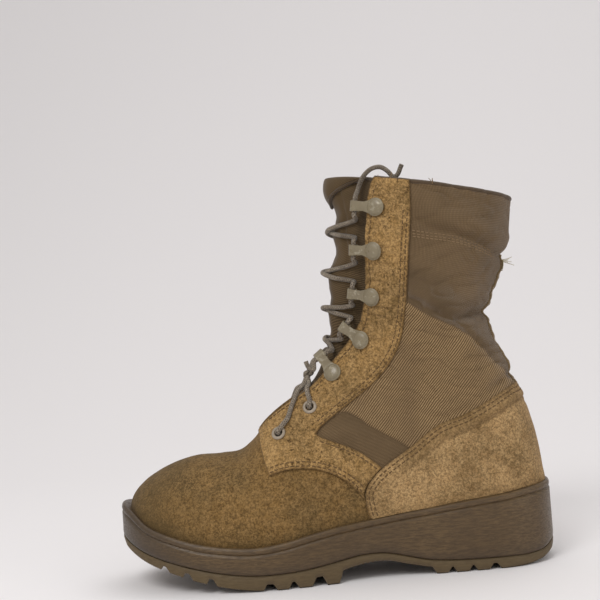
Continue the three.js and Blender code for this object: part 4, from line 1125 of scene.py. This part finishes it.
def build_tongue():
    rows, columns = 260, 110
    start, top = 8.9, COLLAR - 0.15
    tall = 250  # about the tongue's length
    up = np.linspace(0, 1, rows)[:, None]
    share = np.linspace(-1, 1, columns)[None, :]
    dip = 1.25 * np.maximum(0, 1 - np.abs(share * tongue_half(np.array(top)) - 4) / 20)
    t = start + (top - dip - start) * up
    y = share * tongue_half(t)
    distance = np.abs(y)
    angle = PI - np.sign(y) * angle_to_side(t, distance)
    base, normal = skin_point(t, angle), skin_normal(t, angle)
    from_top = (1 - up) * tall
    from_side = (1 - np.abs(share)) * tongue_half(t)
    thin = 1.3 * (1 - smoothstep(from_top, 0, 5)) + 1.0 * (1 - smoothstep(from_side, 0, 3))
    seams = -0.9 * ridge(distance - 13, 1.2) * smoothstep(t, 13, 16)
    wrinkle = 0.55 * bumps(base * (1, 1, 1.6), 9, 2.0) + 0.3 * bumps(base, 4, 6.0)
    face = tongue_face(t, distance) + (seams + wrinkle) * smoothstep(from_side, 5, 14)
    outer = base + normal * (face - thin * 0.5)[..., None]
    inner = base + normal * (face - TONGUE_THICKNESS + thin * 0.5 - 0.2)[..., None]
    turned = (outer[1, 1] - outer[0, 1]) @ np.cross(outer[0, 1] - outer[0, 0], normal[0, 0]) < 0
    # The tongue is darkened near its sides: painted shade where the eyestays overhang it.
    sheet("tongue_padded", outer, inner, np.stack([y, (t - start) * CLOTH_STEP], -1), TONGUE_NYLON, turned,
          0.35 * (1 - smoothstep(from_side, 6, 20)), node_names=["tongue"], slot="canvas")
    bound_edge("tongue_binding", (outer[-1] + inner[-1]) / 2, 1.9, 12, EDGING)


def build_flap():
    """The corner of the tongue's top that is folded over its front, with a bound edge."""
    thickness = 2.2
    up = np.linspace(0, 1, 24)[:, None]
    aside = np.linspace(-4, 25, 40)[None, :]
    fold = 23.4 + 2.4 * smoothstep(aside, -4, 27)
    t = fold + (COLLAR - 0.02 - fold) * up
    lift = tongue_face(t, np.abs(aside)) + thickness + 0.8 * np.sin(PI * up)
    thin = 0.7 * np.abs(2 * up - 1) ** 6
    outer, inner = over_throat(t, aside, lift - thin), over_throat(t, aside, lift - thickness + thin)
    uv = np.stack(np.broadcast_arrays(aside, (t - 20) * CLOTH_STEP), -1)
    sheet("tongue_flap", outer, inner, uv, TONGUE_NYLON, slot="canvas")
    bound_edge("tongue_flap_edge", (outer[0] + inner[0]) / 2, 1.25, 10, LINING)


def build_threads():
    """Frayed ends at the back seam and the eyestays' tops, and the bar of thread that holds the webbing."""
    rng = np.random.default_rng(4)
    pale, yellow, brown = Gathered(), Gathered(), Gathered()

    def fray(gathered, start, out, length):
        drift = out + rng.normal(0, 0.25, 3)
        bend = rng.normal(0, 0.3, 3)
        steps = np.linspace(0, 1, 7)[:, None]
        gathered.add(*tube(start + length * (unit(drift) * steps + bend * steps**2 * 0.5), 0.22, 5))

    def over_relief(t, angle, out):
        base, normal = skin_point(t, angle), skin_normal(t, angle)
        return base + normal * (relief(base) + out)[..., None], normal

    seam = 24.05
    for side in (-1, 1):
        for k in range(5):
            start, normal = over_relief(seam, side * (0.03 + 0.05 * k), 1.6)
            fray(pale, start, normal + (0, 0, 0.3 * side), rng.uniform(4, 8))
    for row in range(7):
        path, _ = over_relief(seam - 0.32 + 0.05 * row, np.linspace(-0.2, 0.2, 9), 2.0)
        yellow.add(*tube(path, 0.38, 6))
    for side in SIDES.values():
        for k in range(8):
            angle = PI - side * angle_to_side(25.9, THROAT("half_gap", 25.9) + 2 + 3.2 * k)
            start, normal = over_relief(25.95, angle, OVERLAY - 0.6)
            fray(brown, start, np.array([0, 0, 1.0]) + normal * 0.4, rng.uniform(2, 4.5))
    pale.make("threads_pale", PALE_THREAD, slot="canvas")
    yellow.make("bartack", YELLOW_THREAD, slot="canvas")
    brown.make("frays_eyestay", TAN_THREAD, slot="suede")


# ---- sole
def plan_ring(count):
    """Points round the sole's plan, its inward normals, and the matching point across."""
    turns = np.linspace(0, PI, count // 2 + 1)
    x = -HALF_LENGTH * np.cos(turns)
    medial = np.stack([x, OUTLINE("medial", x)], 1)
    lateral = np.stack([x, OUTLINE("lateral", x)], 1)[1:-1][::-1]
    ring = np.vstack([medial, lateral])
    ahead = unit(np.roll(ring, -1, 0) - np.roll(ring, 1, 0))
    inward = np.stack([-ahead[:, 1], ahead[:, 0]], 1)
    return ring, inward, [(count - k) % count for k in range(count)]


def ring_faces(rings, count, across):
    """Faces between the rings, and over the first and the last in strips from side to side."""
    faces = linked(rings, count)
    last = (rings - 1) * count
    for k in range(count // 2):
        lower = [across[k], across[k + 1], k + 1, k]
        upper = [last + i for i in (k, k + 1, across[k + 1], across[k])]
        faces += [list(dict.fromkeys(face)) for face in (lower, upper)]
    return faces


def build_midsole(upper):
    ring, inward, across = plan_ring(300)
    count = len(ring)
    rim, parting = PROFILE("rim", ring[:, 0]), PROFILE("parting", ring[:, 0])
    wave = 0.25 * bumps(np.column_stack([ring, rim]), 16, 4.0)
    layers = []

    def layer(inset, height):
        layers.append(np.column_stack([ring + inward * np.broadcast_to(inset, count)[:, None], height]))

    # The lower lip, the wall, and the bead round the rim.
    lip, bead = 2.6, 6.4
    for inset, up in ((1.7, 0), (0.8, 0.3), (0.15, 1.3), (0, lip)):
        layer(inset, parting + up)
    for share in (0.2, 0.4, 0.6, 0.8, 1.0):
        layer(0.15 * share + wave * 0.6, parting + lip + (rim - bead - parting - lip) * share)
    for inset, down in ((0.35, 5.8), (1.0, 5.3), (1.25, 4.8), (0.9, 4.3), (0.3, 3.7), (0.15, 2.8),
                        (0.35, 1.6), (0.9, 0.6), (1.7, 0.1), (2.5, 0), (3.2, 0.5)):
        layer(inset + wave * 0.4, rim - down)
    # The inside follows the upper, found by rays that start outside the sole.
    tree = bvh_of(upper)
    outside, reach, bite, no_upper = 6, 40, 0.8, 7.0
    for height in (rim - 1.6, rim - 6.0, PROFILE("floor", ring[:, 0]) + 0.2):
        inner = []
        for (x, y), (nx, ny), h in zip(ring, inward, height):
            start = Vector((x - nx * outside, y - ny * outside, h))
            _, _, _, distance = tree.ray_cast(start, Vector((nx, ny, 0)), reach)
            inner.append(no_upper if distance is None else distance - outside + bite)
        inner = np.array(inner)
        smooth = (np.roll(inner, 1) + inner * 2 + np.roll(inner, -1)) / 4
        layer(np.clip(smooth, 3.4, 16), height)
    points = np.vstack(layers)
    faces = ring_faces(len(layers), count, across)
    dirt_and_shade = np.clip(0.4 * (1 - smoothstep(points[:, 2] - PROFILE("parting", points[:, 0]), 0, 8))
                   + 0.6 * smoothstep(points[:, 0], 90, 140), 0, 1)
    make("midsole_cup", points, faces, MIDSOLE_RUBBER, points[:, [0, 2]], {"dirt_and_shade": dirt_and_shade}, sharp=60,
         node_names=["midsole"], slot="midsole")


EDGE_LUGS = [
    (-146, -107.5, 3), (-99.5, -91.5, 2.6), (-85.5, -77.5, 2.6), (-71.5, -64, 3), (1.5, 9.5, 3),
    (19.5, 28, 3), (35, 42.5, 2.6), (51.5, 82, 2.4), (89, 98, 2.2), (105, 114, 2.2), (120, 146, 2.2),
]
MIDDLE_LUGS = [
    (-124, -110), (-103, -90), (-83, -70), (12, 24), (31, 44), (51, 64), (71, 83), (90, 102),
]
RAMP = 1.5  # how wide the sloping side of a middle lug is
CHANNEL, MIDDLE_HALF = 13, 9  # half the widths of the gap between edge lugs, and of the middle lugs


def trapezoid(x, start, end, slope):
    return np.clip(np.minimum((x - (start - slope)) / slope, ((end + slope) - x) / slope), 0, 1)


def lug_share(x, y):
    """1 on a lug's tread, 0 on the base between lugs."""
    beside = np.clip((np.abs(y) - (CHANNEL - 1)) / RAMP, 0, 1)
    share = np.zeros(np.broadcast(x, y).shape)
    for start, end, slope in EDGE_LUGS:
        whole = start < -140 or end > 140
        share = np.maximum(share, trapezoid(x, start, end, slope) * (1 if whole else beside))
    in_middle = np.clip((MIDDLE_HALF + RAMP - np.abs(y)) / RAMP, 0, 1)
    for start, end in MIDDLE_LUGS:
        share = np.maximum(share, trapezoid(x, start, end, RAMP) * in_middle)
    return share


def build_outsole():
    stations = [-HALF_LENGTH * math.cos(a) for a in np.linspace(0, PI, 130)]
    for start, end, slope in [*EDGE_LUGS, *((*lug, RAMP) for lug in MIDDLE_LUGS)]:
        stations += [start - slope, start - 0.4 * slope, start, start + 0.6]
        stations += [end - 0.6, end, end + 0.4 * slope, end + slope]
    stations += list(np.arange(-62, 0, 1.1))
    xs = np.array(sorted(s for s in stations if abs(s) < HALF_LENGTH - 0.1))
    xs = xs[np.concatenate([[True], np.diff(xs) > 0.15])]
    across = np.array([0, 0.02, 0.05, *np.linspace(0.09, 0.91, 54), 0.95, 0.98, 1])
    margin = 1.2  # inside the midsole's outline
    lateral, medial = OUTLINE("lateral", xs) - margin, OUTLINE("medial", xs) + margin
    middle = (lateral + medial) / 2
    lateral, medial = np.maximum(lateral, middle + 0.05), np.minimum(medial, middle - 0.05)
    y = medial[:, None] + (lateral - medial)[:, None] * across
    x = np.broadcast_to(xs[:, None], y.shape)
    base, tread = PROFILE("base", x), np.maximum(PROFILE("tread", x), 0)
    share = lug_share(x, y)
    in_arch = (x > -60) & (x < -3)
    serration = 0.45 * (np.abs(np.mod(x / 3.3, 1) - 0.5) * 2) * in_arch * (1 - share)
    border = np.minimum(y - medial[:, None], lateral[:, None] - y)
    chamfer = 0.9 * (1 - smoothstep(border, 0, 1.4)) * share
    z = np.maximum(base + (tread - base) * share + serration + chamfer, 0)
    rows, columns = z.shape
    points = [np.stack([x, y, z], -1).reshape(-1, 3)]
    faces = patch_faces(rows, columns)
    # The sides rise from the tread's border in three rings: the share of the height, and how far in.
    index = np.arange(rows * columns).reshape(rows, columns)
    previous = np.concatenate([index[0, :], index[1:, -1], index[-1, -2::-1], index[-2:0:-1, 0]]).tolist()
    edge = points[0][previous]
    height = PROFILE("parting", edge[:, 0]) - GAP - edge[:, 2]
    away = np.sign(edge[:, 1] - (OUTLINE("lateral", edge[:, 0]) + OUTLINE("medial", edge[:, 0])) / 2)
    for where, inset in ((0.5, 0.0), (0.85, 0.3), (1.0, 0.9)):
        first = sum(map(len, points))
        points.append(edge + np.stack([0 * height, -away * inset, height * where], 1))
        current = list(range(first, first + len(edge)))
        turned = zip(previous, [*previous[1:], previous[0]], current, [*current[1:], current[0]])
        faces += [[d, c, a, b] for a, b, c, d in turned]
        previous = current
    faces.append(previous[::-1])  # the top, hidden under the midsole
    points = np.vstack(points)
    # The base between the lugs is darkened: painted shade in the gaps. The lowest 3 mm are darker as well.
    under = np.concatenate([(1 - share).ravel(), np.zeros(len(points) - rows * columns)])
    dirt_and_shade = np.clip(0.3 * (1 - smoothstep(points[:, 2], 0, 3)) + 0.5 * under, 0, 1)
    make("outsole_tread", points, faces, OUTSOLE_RUBBER, points[:, :2], {"dirt_and_shade": dirt_and_shade}, sharp=35,
         node_names=["outsole"], slot="outsole")


def build_insole(upper):
    """A thin footbed from wall to wall, on the floor of the cup."""
    tree = bvh_of(upper)
    clearance, thickness, cupping, probe = 0.8, 2.4, 1.2, 2.5
    share = np.linspace(-1, 1, 25)
    rows = []
    for x in np.linspace(-136, 131, 120):
        floor = float(PROFILE("floor", x)) + GAP
        middle = float(OUTLINE("lateral", x) + OUTLINE("medial", x)) / 2
        reach = []
        for way in (-1, 1):
            start = Vector((x, middle, floor + probe))
            _, _, _, distance = tree.ray_cast(start, Vector((0, way, 0)), 70)
            reach.append((3 if distance is None else distance) - clearance)
        level = floor + thickness + 0.2
        rows.append([(x, middle + s * reach[int(s > 0)], level + cupping * abs(s) ** 3) for s in share])
    top = np.array(rows).swapaxes(0, 1)
    sheet("insole_footbed", top, top - (0, 0, thickness), top[..., :2], LINING, node_names=["insole"],
          slot="lining")


# ---- hardware
def strip(path, half_widths, thickness):
    """A bent metal strip: its path lies in XZ, its width along Y."""
    path = np.asarray(path, float)
    ahead = unit(np.gradient(path, axis=0))
    up = np.stack([-ahead[:, 1], ahead[:, 0]], 1)
    h, cut = thickness / 2, 0.22
    section = [(1, -h + cut), (1, h - cut), (1, h), (-1, h), (-1, h - cut), (-1, -h + cut), (-1, -h), (1, -h)]
    points = []
    for p, n, w in zip(path, up, half_widths):
        for k, (side, height) in enumerate(section):
            width = w - (cut if k in (2, 3, 6, 7) else 0)
            points.append((p[0] + n[0] * height, side * width, p[1] + n[1] * height))
    rings, count = len(path), len(section)
    return np.array(points), linked(rings, count) + end_faces(rings, count)


def hook_form():
    """A riveted plate, and an arm that rises off the leather and folds back into a loop."""
    form = Gathered()
    plate, rivet = HOOK["plate"], HOOK["rivet"]
    form.add(*lathe([
        (0, 0), (plate - 0.3, 0), (plate, 0.3), (plate, 0.8), (plate - 0.4, 1.15), (rivet, 1.25),
        (rivet * 0.96, 1.7), (rivet * 0.82, 2.2), (rivet * 0.5, 2.55), (0, 2.7),
    ], 36))
    centre, radius = (HOOK["length"] + HOOK["loop"], LOOP_HEIGHT), HOOK["loop"] + 0.5
    turns = np.radians(np.linspace(112, -165, 26))
    curl = [(centre[0] + radius * math.cos(a), centre[1] + radius * math.sin(a)) for a in turns]
    start = spline([(1.0, 0.75), (6.0, 0.8), (9.0, 2.0), curl[0]], 0.6)
    path = np.vstack([start[:-1], curl])
    widths = np.interp(path[:, 0], [0, 4.5, 8, 11.5, 14], [4.8, 4.5, HOOK["neck"] + 0.8, 3.3, HOOK["width"]])
    widths[len(start):] = HOOK["width"]
    form.add(*strip(path, widths, 0.95))
    return form


def build_hardware():
    form = hook_form()
    for (row, side), (origin, basis) in HOOK_FRAMES.items():
        name = f"hook_{SIDE_NAMES[side]}_{row}"
        points = placed(np.vstack(form.points), basis, origin)
        make(f"{name}_steel", points, form.faces, KHAKI, form.uv, sharp=40, node_names=[name], slot="metal")
    outer, hole, top = EYELET["outer"], EYELET["hole"], GAP + EYELET["height"]
    rolled = [
        (hole, 0.1), (outer - 0.3, GAP), (outer, GAP + 0.25), (outer - 0.35, top - 0.35), (outer - 1.1, top),
        (hole + 0.7, top), (hole + 0.15, top - 0.4), (hole - 0.1, GAP), (hole - 0.1, -4.5),
        (hole + 0.2, -4.5), (hole + 0.2, 0.1), (hole, 0.1),
    ]
    points, faces = lathe(rolled, 40)
    for (row, side), (origin, basis) in EYELET_FRAMES.items():
        name = f"eyelet_{SIDE_NAMES[side]}_{row}"
        make(f"{name}_rolled", placed(points, basis, origin), faces, EYELET_METAL, sharp=45,
             node_names=[name], slot="metal")
    cap, cap_faces = lathe([
        (0, 0), (4.6, 0), (4.9, 0.5), (4.6, 1.2), (3.9, 1.4), (3.3, 1.1), (3.0, 0.7), (0, 0.7),
    ], 36)
    # The holes are drawn as dark discs on the cap: painted shade where a real hole would show the dark
    # inside.
    pit, pit_faces = lathe([(0, 0.5), (0.42, 0.5), (0.42, 0.74), (0, 0.76)], 10)
    spread = 1.9  # from the middle hole to the six round it
    shifts = [(spread * math.cos(k * PI / 3), spread * math.sin(k * PI / 3), 0) for k in range(6)]
    for row, (x, above) in VENTS.items():
        t, angle = locate(x, float(PROFILE("rim", x)) + above, -1)
        origin, basis = frame_at(t, angle, skin(t + 0.5, angle), GAP)
        make(f"vent_{row}_cap", placed(cap, basis, origin), cap_faces, VENT_METAL, sharp=45,
             node_names=[f"vent_{row}"], slot="metal")
        holes = Gathered()
        for shift in [*shifts, (0, 0, 0)]:
            holes.add(placed(pit + shift, basis, origin), pit_faces)
        holes.make(f"vent_{row}_holes", PAINTED_HOLE_SHADE, slot="metal")


# ---- stitches
def capsule(length, radius):
    end, shoulder = length / 2, radius * 0.7
    half = [(0, end), (shoulder, end - radius * 0.3), (radius, end - radius)]
    return lathe([(r, -z) for r, z in half] + half[::-1], 6)


def stitch_run(gathered, line, normals, length=2.6, gap=1.0, radius=0.42):
    """Stitches along a line of points on a surface."""
    run = running(line)
    points, faces = capsule(length, radius)

    def read(table, at):
        return np.array([np.interp(at, run, table[:, k]) for k in range(3)])

    for at in np.arange(length, run[-1] - length / 2, length + gap):
        normal = unit(read(normals, at))
        ahead = unit(read(line, at + 1) - read(line, at - 1))
        aside = unit(np.cross(normal, ahead))
        basis = np.stack([aside, np.cross(ahead, aside), ahead])
        sunk = radius * 0.35 - 0.1
        gathered.add(placed(points, basis, read(line, at) + normal * sunk), faces)


def shifted(line, distance):
    """A line of the side view, moved to its left."""
    ahead = unit(np.gradient(line, axis=0))
    return line + np.stack([-ahead[:, 1], ahead[:, 0]], 1) * distance


BESIDE = 120  # well outside the boot


def on_piece(tree, line, side):
    """Where a line of the side view meets a piece, seen from one side: points and normals."""
    points, normals = [], []
    for x, z in line:
        hit, normal, _, _ = tree.ray_cast(Vector((x, side * BESIDE, z)), Vector((0, -side, 0)), BESIDE - 2)
        if hit is not None:
            points.append(tuple(hit))
            normals.append(tuple(normal))
    return np.array(points), np.array(normals)


def stitch_edge(gathered, tree, run, at, outline, side):
    """A row of stitches at a distance inside a panel's edge."""
    line = shifted(spline(run, 1.0), at)
    if area_field(outline, *line[len(line) // 2]) > 0:
        line = shifted(spline(run, 1.0), -at)
    stitch_run(gathered, *on_piece(tree, line, side))


def build_stitches(quarters, counter, upper):
    first_row = ROWS_OF_STITCHES[0]
    ts = np.linspace(THROAT_START + 0.8, COLLAR - 0.3, 400)
    for name, side in SIDES.items():
        tree, dark = bvh_of(quarters[name]), Gathered()
        for run in (QUARTER_RUNS[0][:8], QUARTER_RUNS[3][1:-1]):
            for at in ROWS_OF_STITCHES:
                stitch_edge(dark, tree, run, at, QUARTER, side)
        stitch_edge(dark, tree, QUARTER_RUNS[2][:-1], first_row, QUARTER, side)
        # Along the throat's edge.
        angle = PI - side * angle_to_side(ts, THROAT("half_gap", ts) + first_row)
        base, normals = skin_point(ts, angle), skin_normal(ts, angle)
        stitch_run(dark, base + normals * (relief(base) + OVERLAY)[:, None], normals)
        dark.make(f"stitches_quarter_{name}", DARK_THREAD, slot="suede")
    tree = bvh_of(counter)
    for name, side in SIDES.items():
        dark = Gathered()
        for at in ROWS_OF_STITCHES:
            stitch_edge(dark, tree, COUNTER_LINE, at, COUNTER, side)
        dark.make(f"stitches_counter_{name}", DARK_THREAD, slot="suede")
    tree = bvh_of(upper)
    for name, side in SIDES.items():
        tan = Gathered()
        for rise in (0.0, 1.7, 3.8):
            line = spline(np.array([(-63, 226), (-77, 223), (-94, 219.5), (-119, 208.6)]) + (0, rise), 1.0)
            stitch_run(tan, *on_piece(tree, line, side), 2.2, 0.8, 0.4)
        tan.make(f"stitches_collar_{name}", TAN_THREAD, slot="canvas")


# ---- room
def build_room():
    """A sheet of paper that lies flat and bends up behind. Lengths are metres here and in the lights."""
    far, back, top, bend = 3.0, -2.4, 4.0, 1.9
    turns = np.linspace(0, PI / 2, 48)
    curve = [(back + bend - bend * math.sin(a), bend - bend * math.cos(a)) for a in turns]
    profile = [(far, 0.0), *curve, (back, top)]
    faces = [(2 * i, 2 * i + 1, 2 * i + 3, 2 * i + 2) for i in range(len(profile) - 1)]
    mesh = bpy.data.meshes.new("floor")
    mesh.from_pydata([(x, y, z) for y, z in profile for x in (-far, far)], [], faces)
    mesh.polygons.foreach_set("use_smooth", [True] * len(mesh.polygons))
    mesh.materials.append(Shader("paper").finish(tone(236, 233, 233), 0.9, Specular_IOR_Level=0.2))
    floor = bpy.data.objects.new("floor", mesh)
    bpy.context.scene.collection.objects.link(floor)


def area_light(name, place, aim, size, power):
    data = bpy.data.lights.new(name, "AREA")
    data.shape, data.size, data.energy = "DISK", size, power
    lamp = bpy.data.objects.new(name, data)
    lamp.location = place
    lamp.rotation_euler = (Vector(aim) - Vector(place)).to_track_quat("-Z", "Y").to_euler()
    bpy.context.scene.collection.objects.link(lamp)


def build_light():
    aim = (0.0, 0.0, 0.12)
    area_light("key", (0.55, 1.0, 1.25), aim, 0.8, 11)
    area_light("fill", (-1.2, 0.9, 0.7), aim, 1.2, 3.2)
    area_light("over", (-0.1, -0.5, 1.6), aim, 1.2, 3)
    area_light("behind", (-0.9, -0.6, 2.4), (-0.5, -2.2, 0.9), 1.6, 9)
    world = bpy.data.worlds.new("world")
    bpy.context.scene.world = world
    world.use_nodes = True
    sky = world.node_tree.nodes["Background"].inputs
    sky["Color"].default_value = (1.0, 0.985, 0.98, 1)
    sky["Strength"].default_value = 0.56


# ---- build
upper_piece = build_upper()
build_binding()
quarter_pieces = {name: build_quarter(name, side) for name, side in SIDES.items()}
counter_piece = build_counter()
for ribbed_name, ribbed_side in SIDES.items():
    build_ribbed(ribbed_name, ribbed_side)
build_backstay()
build_tongue()
build_flap()
build_threads()
build_midsole(upper_piece)
build_outsole()
build_insole(upper_piece)
build_hardware()
build_stitches(quarter_pieces, counter_piece, upper_piece)
build_room()
build_light()

bpy.context.scene.view_settings.view_transform = "Standard"
